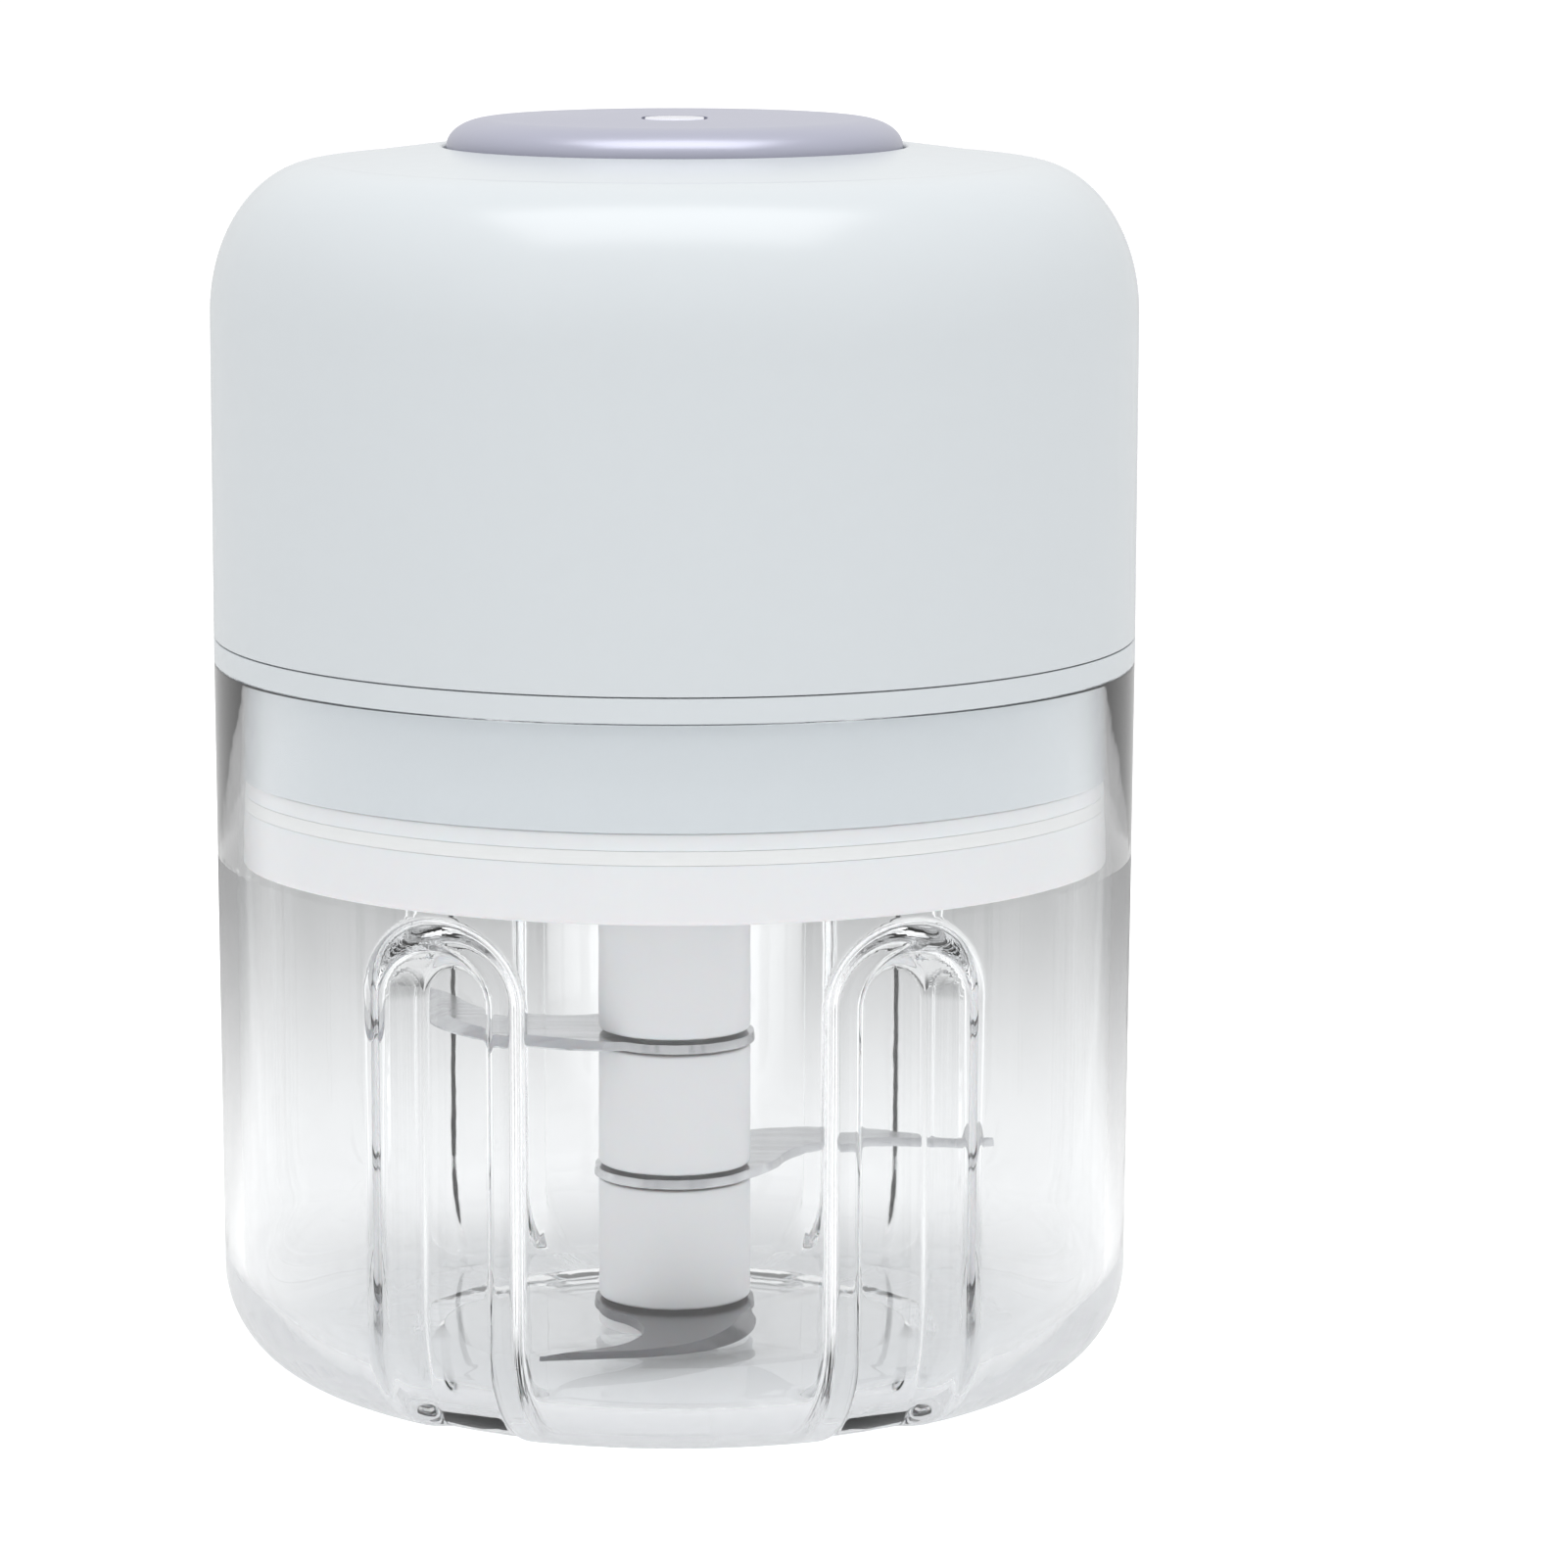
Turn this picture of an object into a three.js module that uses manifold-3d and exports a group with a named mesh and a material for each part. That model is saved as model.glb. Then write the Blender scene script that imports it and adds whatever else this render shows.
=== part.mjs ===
// A small cordless food chopper: a clear cup with a three-blade tower in it, an inner lid that
// closes the cup, and a motor head that stands on the rim and drives the tower from above.
// Millimetres, +Z up. The origin is the centre of the cup's foot, on the surface it stands on.
// The front of the chopper looks along -Y, and its charging socket is at the back, along +Y.
import * as THREE from "three";
import { mergeVertices } from "three/addons/utils/BufferGeometryUtils.js";
import Module from "manifold-3d";

const wasm = await Module();
wasm.setup();

// ---- Fits and facets ----
const gap = 0.3; // running or seating clearance between two pieces
const bodySides = 44; // facets round the cup and the head
const partSides = 20; // facets round the pieces inside
const boltSides = 10; // facets round screws, pins and their holes
const overlap = 0.5; // how far one lump of a piece reaches into the next

// ---- Cup ----
const bodyR = 41; // outside of the cup's rim and of the head
const cupH = 64;
const cupWall = 1.7;
const cupDraft = 0.35; // the wall is narrower by this much at the foot
const cupCorner = 9.4;
const floorT = 1.8;
const footStep = 1; // height of the hollow under the floor
const footInnerR = 24.6;
const footSlope = 3.6; // the hollow's side leans in by this much
const pinR = 1.5;
const pinH = 15.4;
const pinSeat = 0.8; // floor left under the pin
const pinChamfer = 0.8;
const bossWall = 1.2;
const bossH = 3.7;

// ---- Ribs pressed into the cup's wall ----
const ribAngles = [60, 120, 240, 300]; // degrees from +X
const ribW = 12.5;
const ribDepth = 4.1; // how far a rib stands in from the wall
const ribWall = 2;
const ribToe = 5.4; // how much further it reaches in at the floor
const ribToeH = 10;

// ---- Blade tower ----
const towerR = 6.85;
const bladeCount = 3;
const bladePitch = 12.3;
const bladeT = 0.8;
const bladeRingR = 7.25;
const bladeSweepR = 31; // tip radius that the sickle outline is drawn at
const bladeReach = 3.7; // room between a blade's tip and the ribs
const lowBladeReach = 2; // the same for the lowest blade
const bladeTips = [245, 19, 139]; // degrees from +X, lowest blade first
const stemR = 5.1; // corners of the six-sided stem
const footRingT = 1.2;
const floorRoom = 0.4; // under the tower's foot
const bushWall = 1.2;
const bushH = 8.5;
const dogR = 3.9; // corners of the six-sided drive dog
const dogH = 8.7;
const socketRoom = 1; // under the dog, in its socket
const pinHeadroom = 1.5; // over the pin, inside the tower

// ---- Inner lid ----
const lidBandH = 7.8;
const lidBandT = 2.2;
const lidPlateT = 1.8;
const lidPlateUp = 1.5; // the plate's height over the band's lower edge
const lidHubT = 1.8;
const lidHubH = 4.5;
const lidRibs = 6;
const lidRibT = 1.4;
const lidRibH = 1.6;
const lidSlack = 0.5; // play between the lid and the cup
const hubDrop = 1; // how far the hub hangs under the plate
const sealH = 1.2;
const sealDepth = 1.3;
const sealGrip = 0.2; // how far the seal stops short of the groove's bottom
const sealDown = 1.5; // the seal's top, under the band's top

// ---- Head base ----
const plugH = 9.1; // how deep the base sits in the cup
const collarH = 1.75;
const lipH = 3.4; // register lip inside the housing
const baseWall = 2;
const nozzleH = 2;
const nozzleWall = 1.9;
const caseScrewIn = 6; // case screws' distance from the housing's inner wall
const caseScrewAngles = [30, 150, 270];
const caseScrewL = 12.7;
const caseScrewR = 1.3;
const caseBossR = 4;
const caseBossH = 3.2;
const caseHeadR = 2.4;
const caseHeadH = 1.6;
const caseHeadIn = 0.4; // the screw's seat, over the plate's inner face
const plugBevel = 0.6;
const postW = 4.5;
const postH = 7;
const postGrip = 2; // post either side of the charging board

// ---- Housing and button ----
const shellWall = 2;
const shoulderIn = 9.8; // the shoulder's size, inwards and upwards
const shoulderH = 13.3;
const crownRise = 1.4; // the crown's rise from the shoulder to the button
const pillarR = 3.2; // screw pillars inside the housing
const portRoom = 0.35; // round the charging socket
const webHalf = 0.8;
const buttonR = 20.1;
const buttonBevelIn = 3.8;
const buttonProud = 2.3;
const buttonT = 1.8;
const buttonSkirt = 2.8;
const buttonTravel = 1.5;
const buttonStemR = 2.2;
const stemToUnder = 1.2; // stem's length
const buttonHooks = 3;
const hookW = 5;
const hookT = 1.5;
const hookReach = 1.1; // past the hole's edge
const windowW = 5.2;
const windowL = 7.4;
const windowT = 1;

// ---- Gearbox ----
const gearModule = 0.64;
const sunTeeth = 9;
const planetTeeth = 12;
const planets = 3;
const ringTeeth = sunTeeth + 2 * planetTeeth;
const gearW = 5;
const gearboxWall = 2.2;
const gearboxFloor = 1.6;
const carrierT = 1.9;
const gearHeadroom = 1.3;
const rimPastPins = 2; // carrier outside the planet pins' circle
const planetPinR = 0.9;
const shaftR = 2;
const outBushT = 2;
const coverT = 1.8;
const earR = 2.6;
const earAngles = [90, 210, 330];
const earBossH = 3;
const earHoleR = 1.3;
const earWebIn = 0.6;
const earScrewFloor = 0.9; // plate left under an ear screw's hole
const dogSocket = 2.6; // solid end of the dog under the shaft

// ---- Motor ----
const motorR = 12.2;
const motorL = 28;
const motorWall = 1;
const motorShaftR = 1;
const magnetT = 2;
const magnetSpan = 120; // degrees
const endCapT = 2.5;
const motorScrewL = 3.6;
const smallScrewR = 1;
const smallHeadR = 2;
const smallHeadH = 1.2;
const motorScrewAt = 8;
const motorHoleR = 1.3;
const motorSeatR = 2.3; // counterbore under a motor screw
const motorSeatH = 1.2;
const spigotR = 3.1; // the can's locating spigot
const spigotH = 1.6;
const canFloor = 1.2;
const endCapIn = 1.8; // the end cap's register inside the can
const poleW = 3;
const shoeT = 1.6;
const commutatorR = 2.6;
const commutatorL = 3;

// ---- Battery, boards and switch ----
const cellR = 9.15;
const cellL = 35;
const cradleT = 1.5;
const cradleH = 24;
const cradleMouth = 100; // degrees, open towards the housing's wall
const cellButtonR = 2.8;
const boardT = 1.6;
const chargeBoardW = 18;
const chargeBoardH = 24;
const usbW = 9;
const usbH = 3.4;
const usbL = 7.4;
const usbSheet = 0.4;
const usbBack = 1.2;
const usbProud = 1.1; // the socket's mouth, into the housing's wall
const usbDown = 6; // socket below the charging board's top
const tongueL = 4.4;
const tongueT = 0.8;
const tongueIn = 1.3;
const bracketT = 1.2;
const bracketH = 12.5;
const switchBoardR = 11.5;
const switchW = 6.2;
const switchH = 1.8;
const switchNubH = 0.7;
const springR = 8.5;
const springWire = 0.45;
const springTurns = 4;
const ledR = 1.4;
const ledH = 3;
const ledAt = 6;

// ---- Levels and radii that follow ----
const floorZ = footStep + floorT;
const plugZ = cupH + gap - plugH - gap;
const lidTopZ = plugZ - gap;
const lidZ = lidTopZ - lidBandH;
const ribTopZ = lidZ - gap;
const footRingZ = floorZ + floorRoom;
const lowBladeZ = footRingZ + footRingT + gap;
const bladeZ = (i) => lowBladeZ + i * bladePitch;
const topBladeZ = bladeZ(bladeCount - 1);
const nozzleZ = plugZ - nozzleH;
const towerTopZ = nozzleZ - 2 * gap;
const dogTopZ = towerTopZ - gap;
const dogZ = dogTopZ - dogH;
const cupOuterR = (z) => bodyR - (cupDraft * (cupH - z)) / (cupH - cupCorner);
const cupInnerR = (z) => cupOuterR(z) - cupWall;
const ribR = cupInnerR(ribTopZ) - ribDepth;
const ribToeR = ribR - ribToe;
const plugR = cupInnerR(plugZ) - gap;
const plugInnerR = plugR - baseWall;
const plateZ = plugZ + baseWall;
const collarZ = cupH + gap;
const shellZ = collarZ + collarH + gap;
const shellInnerR = bodyR - shellWall;
const lipR = shellInnerR - gap;
const caseScrewAt = shellInnerR - caseScrewIn;
const caseBossTopZ = plateZ + caseBossH;
const caseSeatZ = plateZ + caseHeadIn;

const ringPitchR = (gearModule * ringTeeth) / 2;
const planetAt = (gearModule * (sunTeeth + planetTeeth)) / 2;
const ringRootR = ringPitchR + 1.2 * gearModule;
const gearboxR = ringRootR + gearboxWall;
const gearboxZ = plateZ + gap;
const carrierZ = gearboxZ + gearboxFloor + gap;
const gearZ = carrierZ + carrierT + gap;
const gearboxTopZ = gearZ + gearW + gearHeadroom;
const coverZ = gearboxTopZ + gap;
const coverTopZ = coverZ + coverT;
const earAt = Math.max(gearboxR, motorR) + earR + 1.5 * gap;

const motorZ = coverTopZ + gap;
const motorTopZ = motorZ + motorL;
const endCapZ = motorTopZ + gap;
const bracketTopZ = endCapZ + endCapT + gap + bracketT;
const switchBoardZ = bracketTopZ + gap;
const switchZ = switchBoardZ + boardT + gap;
const nubTopZ = switchZ + switchH + switchNubH;
const stemZ = nubTopZ + buttonTravel + gap;
const buttonUnderZ = stemZ + stemToUnder;
const buttonTopZ = buttonUnderZ + buttonT;
const shellTopZ = buttonTopZ - buttonProud;
const crownHoleR = buttonR + gap;
const shoulderR = bodyR - shoulderIn;
const shoulderTopZ = shellTopZ - crownRise;
const shoulderZ = shoulderTopZ - shoulderH;

const cradleR = cellR + gap + cradleT;
const cellAt = (gearboxR + cradleR + plugInnerR - cellR - gap) / 2;
const cradleZ = plateZ + gap;
const cellZ = cradleZ + cradleT + gap;
const chargeBoardY = shellInnerR - usbL + usbProud;
const chargeBoardZ = plateZ + 2;
const usbZ = chargeBoardZ + chargeBoardH - usbDown;

// ---- Finishes ----
const finishes = {
  clear: { color: 0xeef3f5, roughness: 0.05, metalness: 0, transparent: true, opacity: 0.3 },
  housing: { color: 0xd9e1e4, roughness: 0.22, metalness: 0 },
  button: { color: 0xc9cad8, roughness: 0.35, metalness: 0.2 },
  white: { color: 0xf2f3f2, roughness: 0.4, metalness: 0 },
  silicone: { color: 0xf6f6f4, roughness: 0.6, metalness: 0 },
  steel: { color: 0xb9bcc0, roughness: 0.25, metalness: 1 },
  brass: { color: 0xc9a24a, roughness: 0.3, metalness: 1 },
  copper: { color: 0xb87040, roughness: 0.35, metalness: 1 },
  nylon: { color: 0xe8e4d6, roughness: 0.5, metalness: 0 },
  darkPlastic: { color: 0x2b2c30, roughness: 0.5, metalness: 0 },
  magnet: { color: 0x3a3a3c, roughness: 0.6, metalness: 0.4 },
  board: { color: 0x1f6b3a, roughness: 0.45, metalness: 0 },
  sleeve: { color: 0x3f7fb8, roughness: 0.35, metalness: 0 },
};

// ---- Shapes and solids ----
const radians = (degrees) => (degrees * Math.PI) / 180;

// A geometry as a manifold solid, with its shared points merged and its faces turned outwards.
function solidOf(geometry) {
  const bare = geometry.clone();
  bare.deleteAttribute("normal");
  bare.deleteAttribute("uv");
  const merged = mergeVertices(bare, 1e-4);
  const at = merged.getAttribute("position");
  const corners = [0, 1, 2].map(() => new THREE.Vector3());
  const kept = [];
  let volume = 0;
  for (let i = 0; i < merged.index.count; i += 3) {
    const [a, b, c] = [0, 1, 2].map((k) => merged.index.getX(i + k));
    if (a === b || b === c || c === a) continue;
    kept.push(a, b, c);
    [a, b, c].forEach((v, k) => corners[k].fromBufferAttribute(at, v));
    volume += corners[0].dot(corners[1].cross(corners[2]));
  }
  if (volume < 0) kept.reverse();
  return new wasm.Manifold(
    new wasm.Mesh({ numProp: 3, vertProperties: at.array, triVerts: new Uint32Array(kept) }),
  );
}

const joined = (...solids) => solids.reduce((all, next) => all.add(next));
const cut = (solid, ...tools) => tools.reduce((left, tool) => left.subtract(tool), solid);

// A closed outline of [radius, height] points turned about the Z axis.
function turned(outline, sides = partSides) {
  const points = [...outline, outline[0]].map(([r, z]) => new THREE.Vector2(r, z));
  const geometry = new THREE.LatheGeometry(points, sides).rotateX(Math.PI / 2);
  return solidOf(geometry);
}

// A disc or tube between two heights.
function round(outerR, innerR, z0, z1, sides = partSides) {
  const corner = innerR > 0 ? innerR : 0;
  return turned([[corner, z0], [outerR, z0], [outerR, z1], [corner, z1]], sides);
}

function rodAt(x, y, r, z0, z1, sides = boltSides) {
  return round(r, 0, z0, z1, sides).translate([x, y, 0]);
}

function block(x0, x1, y0, y1, z0, z1) {
  const geometry = new THREE.BoxGeometry(x1 - x0, y1 - y0, z1 - z0);
  geometry.translate((x0 + x1) / 2, (y0 + y1) / 2, (z0 + z1) / 2);
  return solidOf(geometry);
}

// A flat outline drawn in X and Y, given a thickness in Z.
function plate(shape, z0, z1, curveSegments = 6) {
  const settings = { depth: z1 - z0, bevelEnabled: false, curveSegments };
  return solidOf(new THREE.ExtrudeGeometry(shape, settings).translate(0, 0, z0));
}

// A six-sided bar, given by the radius of its corners.
const sixSided = (cornerR, z0, z1) => round(cornerR, 0, z0, z1, 6);

const polar = (r, degrees) => [r * Math.cos(radians(degrees)), r * Math.sin(radians(degrees))];

// Points along a quarter of an ellipse, as [radius, height] pairs.
function arc(cx, cz, rx, rz, from, to, steps) {
  return Array.from({ length: steps + 1 }, (_, i) => {
    const turn = radians(from + ((to - from) * i) / steps);
    return [cx + rx * Math.cos(turn), cz + rz * Math.sin(turn)];
  });
}

function spurOutline(teeth, addendum, dedendum, phase, toothShare = 0.42) {
  const pitchR = (gearModule * teeth) / 2;
  const step = (2 * Math.PI) / teeth;
  const outline = new THREE.Shape();
  const corners = [];
  for (let i = 0; i < teeth; i++) {
    const middle = phase + i * step;
    corners.push([pitchR - dedendum, middle - 0.34 * step]);
    corners.push([pitchR + addendum, middle - (toothShare / 4) * step]);
    corners.push([pitchR + addendum, middle + (toothShare / 4) * step]);
    corners.push([pitchR - dedendum, middle + 0.34 * step]);
  }
  outline.setFromPoints(
    corners.map(([r, turn]) => new THREE.Vector2(r * Math.cos(turn), r * Math.sin(turn))),
  );
  return outline;
}

// ---- Scene ----
const chopper = new THREE.Group();
const groups = {};
for (const name of ["cup_parts", "tower_parts", "lid_parts", "head_parts"]) {
  groups[name] = new THREE.Group();
  groups[name].name = name;
  chopper.add(groups[name]);
}

function addPiece(group, name, solid, finish) {
  const { vertProperties, triVerts } = solid.getMesh();
  const geometry = new THREE.BufferGeometry();
  geometry.setAttribute("position", new THREE.BufferAttribute(vertProperties, 3));
  geometry.setIndex(new THREE.BufferAttribute(triVerts, 1));
  geometry.computeVertexNormals();
  const mesh = new THREE.Mesh(geometry, new THREE.MeshStandardMaterial(finishes[finish]));
  mesh.name = name;
  groups[group].add(mesh);
  return mesh;
}

// A screw that points up from the origin: its head hangs below, its shank rises.
function screw(headR, headH, shankR, length) {
  const outline = [[0, -headH], [headR, -headH], [headR, 0]];
  outline.push([shankR, 0], [shankR, length - shankR], [0.3, length], [0, length]);
  const slot = block(-headR, headR, -0.3, 0.3, -headH - 1, 0.5 - headH);
  return cut(turned(outline, boltSides), slot);
}

// ---- Cup ----
// The side view of a rib, as seen across it: inner face, then the toe that runs on to the floor.
function ribSide(inset, topZ) {
  const side = new THREE.Shape();
  const face = ribR + inset;
  side.moveTo(bodyR + 2, -1);
  side.lineTo(bodyR + 2, topZ);
  side.lineTo(face, topZ);
  side.lineTo(face, floorZ + ribToeH);
  side.quadraticCurveTo(face, floorZ - inset + 1, ribToeR + inset, floorZ - inset - 0.2);
  side.lineTo(ribToeR + inset, -1);
  return side;
}

// A rib's front view: two straight legs under a round arch, drawn across and up.
function archOutline(width, topZ) {
  const half = width / 2;
  const arch = new THREE.Shape();
  arch.moveTo(-half, -1);
  arch.lineTo(half, -1);
  arch.lineTo(half, topZ - half);
  arch.absarc(0, topZ - half, half, 0, Math.PI, false);
  return arch;
}

// The solid that both views share, standing along +X.
function ribBody(width, inset, topZ) {
  const side = new THREE.ExtrudeGeometry(ribSide(inset, topZ), {
    depth: width,
    bevelEnabled: false,
    curveSegments: 6,
  });
  side.translate(0, 0, -width / 2).rotateX(Math.PI / 2);
  const arch = new THREE.ExtrudeGeometry(archOutline(width, topZ), {
    depth: bodyR + 2,
    bevelEnabled: false,
    curveSegments: 6,
  });
  arch.rotateX(Math.PI / 2).rotateZ(Math.PI / 2);
  return solidOf(side).intersect(solidOf(arch));
}

function makeCup() {
  const cornerAt = cupOuterR(cupCorner) - cupCorner;
  const innerCorner = cupCorner - cupWall;
  const bossR = pinR + gap + bossWall;
  const outside = [
    [0, footStep],
    [footInnerR - footSlope, footStep],
    [footInnerR, 0],
    ...arc(cornerAt, cupCorner, cupCorner, cupCorner, -90, 0, 5),
    [cupOuterR(cupH), cupH],
  ];
  const inside = [
    [cupInnerR(cupH), cupH],
    ...arc(cornerAt, floorZ + innerCorner, innerCorner, innerCorner, 0, -90, 5),
    [bossR, floorZ],
    [bossR, floorZ + bossH],
    [0, floorZ + bossH],
  ];
  const envelope = turned([...outside, [0, cupH]], bodySides);
  const pinHole = rodAt(0, 0, pinR + gap, footStep + pinSeat, floorZ + bossH + 1, partSides);
  let cup = turned([...outside, ...inside], bodySides);
  for (const angle of ribAngles) {
    cup = cup.add(ribBody(ribW, 0, ribTopZ).intersect(envelope).rotate([0, 0, angle]));
  }
  for (const angle of ribAngles) {
    const groove = ribBody(ribW - 2 * ribWall, ribWall, ribTopZ - ribWall);
    cup = cup.subtract(groove.rotate([0, 0, angle]));
  }
  return cut(cup, pinHole);
}

function makePin() {
  const z = footStep + pinSeat + gap;
  const top = z + pinH;
  return turned([[0, z], [pinR, z], [pinR, top - pinChamfer], [pinR - pinChamfer, top], [0, top]]);
}

addPiece("cup_parts", "cup", makeCup(), "clear");
addPiece("cup_parts", "pivot_pin", makePin(), "steel");

// ---- Blade tower ----
const bushInnerR = pinR + gap;
const bushR = bushInnerR + bushWall;
const bushZ = floorZ + bossH + gap;
const stemHoleR = stemR + gap / Math.cos(Math.PI / 6);

function makeTowerCore() {
  const headZ = topBladeZ + bladeT + gap;
  const head = round(towerR, 0, headZ, towerTopZ, partSides);
  const stem = sixSided(stemR, footRingZ + gap, headZ + overlap);
  const bushBore = rodAt(0, 0, bushR + gap, 0, bushZ + bushH + gap, partSides);
  const pinTopZ = footStep + pinSeat + pinH;
  const pinBore = rodAt(0, 0, pinR + 2 * gap, 0, pinTopZ + pinHeadroom, partSides);
  const socketZ = dogZ - socketRoom;
  const socket = sixSided(dogR + gap / Math.cos(Math.PI / 6), socketZ, towerTopZ + 1);
  return cut(joined(head, stem), bushBore, pinBore, socket);
}

function makeSpacer(i) {
  const z0 = bladeZ(i) + bladeT + gap;
  const sleeve = round(towerR, 0, z0, bladeZ(i + 1) - gap, partSides);
  return cut(sleeve, sixSided(stemHoleR, 0, towerTopZ));
}

// A sickle: the outer edge sweeps out from the ring to the tip, the inner edge hooks back.
function sickleOutline(tipR) {
  const share = tipR / bladeSweepR;
  const at = (r, degrees) => polar(r, degrees);
  const sickle = new THREE.Shape();
  sickle.moveTo(...at(bladeRingR - 1, 95));
  sickle.bezierCurveTo(...at(13 * share, 74), ...at(22 * share, 42), ...at(25 * share, 17));
  sickle.quadraticCurveTo(...at(27 * share, 9), ...at(tipR, 0));
  sickle.quadraticCurveTo(...at(25.5 * share, 3), ...at(22 * share, 9));
  sickle.bezierCurveTo(...at(18 * share, 15), ...at(13 * share, 18), ...at(9.5 * share, -8));
  sickle.quadraticCurveTo(...at(8.6, -22), ...at(bladeRingR - 1, -48));
  return sickle;
}

function makeBlade(i) {
  const tipR = i === 0 ? ribToeR - lowBladeReach : ribR - bladeReach;
  const ring = round(bladeRingR, 0, bladeZ(i), bladeZ(i) + bladeT, partSides);
  const sickle = plate(sickleOutline(tipR), bladeZ(i), bladeZ(i) + bladeT, 8);
  return cut(joined(ring, sickle.rotate([0, 0, bladeTips[i]])), sixSided(stemHoleR, 0, towerTopZ));
}

function makeFootRing() {
  const ring = round(towerR, 0, footRingZ, footRingZ + footRingT, partSides);
  return cut(ring, sixSided(stemHoleR, 0, towerTopZ));
}

addPiece("tower_parts", "tower_core", makeTowerCore(), "white");
addPiece("tower_parts", "lower_spacer", makeSpacer(0), "white");
addPiece("tower_parts", "upper_spacer", makeSpacer(1), "white");
addPiece("tower_parts", "bottom_blade", makeBlade(0), "steel");
addPiece("tower_parts", "middle_blade", makeBlade(1), "steel");
addPiece("tower_parts", "top_blade", makeBlade(2), "steel");
addPiece("tower_parts", "tower_foot_ring", makeFootRing(), "white");
addPiece("tower_parts", "pivot_bush", round(bushR, bushInnerR, bushZ, bushZ + bushH), "brass");

// ---- Inner lid ----
const lidR = cupInnerR(lidZ) - lidSlack;
const sealTopZ = lidTopZ - sealDown;
const lidPlateZ = lidZ + lidPlateUp;
const lidHoleR = towerR + gap;

function makeLid() {
  const bandInnerR = lidR - lidBandT;
  const hubR = lidHoleR + lidHubT;
  const hubZ = lidPlateZ - hubDrop;
  const band = round(lidR, bandInnerR, lidZ, lidTopZ, bodySides);
  const disc = round(bandInnerR + overlap, lidHoleR, lidPlateZ, lidPlateZ + lidPlateT, bodySides);
  const hub = round(hubR, lidHoleR, hubZ, hubZ + lidHubH, bodySides);
  const grooveR = lidR - sealDepth - 0.1;
  const groove = round(lidR + 1, grooveR, sealTopZ - sealH - gap, sealTopZ + gap, bodySides);
  const ribZ = lidPlateZ + lidPlateT;
  const half = lidRibT / 2;
  const rib = block(hubR - overlap, bandInnerR + overlap, -half, half, ribZ - overlap, ribZ + lidRibH);
  let lid = joined(band, disc, hub);
  for (let i = 0; i < lidRibs; i++) {
    lid = lid.add(rib.rotate([0, 0, (360 / lidRibs) * (i + 0.5)]));
  }
  return cut(lid, groove);
}

function makeSeal() {
  const outerR = cupInnerR(sealTopZ - sealH) - gap;
  const innerR = lidR - sealDepth + sealGrip;
  return round(outerR, innerR, sealTopZ - sealH, sealTopZ, bodySides);
}

addPiece("lid_parts", "inner_lid", makeLid(), "white");
addPiece("lid_parts", "lid_seal", makeSeal(), "silicone");

// ---- Head base ----
const outBushR = shaftR + gap + outBushT;
const outBoreR = outBushR + gap;
const boardPostX = chargeBoardW / 2 + 1.5;

function boardPost(side) {
  const y0 = chargeBoardY - boardT;
  const y1 = chargeBoardY;
  const [x0, x1] = [boardPostX - (2 / 3) * postW, boardPostX + postW / 3];
  const [z0, z1] = [plateZ - overlap, chargeBoardZ + postH];
  const post = block(x0, x1, y0 - postGrip, y1 + postGrip, z0, z1);
  const slot = block(0, chargeBoardW / 2 + gap, y0 - gap, y1 + gap, chargeBoardZ - gap, usbZ);
  const whole = cut(post, slot);
  return side > 0 ? whole : whole.mirror([1, 0, 0]);
}

function makeHeadBase() {
  const nozzleR = outBoreR + nozzleWall;
  const outline = [
    [outBoreR, nozzleZ],
    [nozzleR, nozzleZ],
    [nozzleR, plugZ],
    [plugR - plugBevel, plugZ],
    [plugR, plugZ + plugBevel],
    [plugR, collarZ],
    [bodyR, collarZ],
    [bodyR, collarZ + collarH],
    [lipR, collarZ + collarH],
    [lipR, collarZ + collarH + lipH],
    [plugInnerR, collarZ + collarH + lipH],
    [plugInnerR, plateZ],
    [outBoreR, plateZ],
  ];
  let base = turned(outline, bodySides);
  for (const angle of caseScrewAngles) {
    const [x, y] = polar(caseScrewAt, angle);
    const boss = rodAt(x, y, caseBossR, plateZ - overlap, caseBossTopZ);
    const headHole = rodAt(x, y, caseHeadR + gap, plugZ - 1, caseSeatZ + gap);
    const shankHole = rodAt(x, y, caseScrewR + gap, plugZ, caseBossTopZ + 1);
    base = cut(base.add(boss), headHole, shankHole);
  }
  for (const angle of earAngles) {
    const [x, y] = polar(earAt, angle);
    const boss = rodAt(x, y, earR, plateZ - overlap, plateZ + earBossH);
    base = cut(base.add(boss), rodAt(x, y, earHoleR, plugZ + earScrewFloor, plateZ + earBossH + 1));
  }
  return joined(base, boardPost(1), boardPost(-1));
}

addPiece("head_parts", "head_base", makeHeadBase(), "housing");

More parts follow.
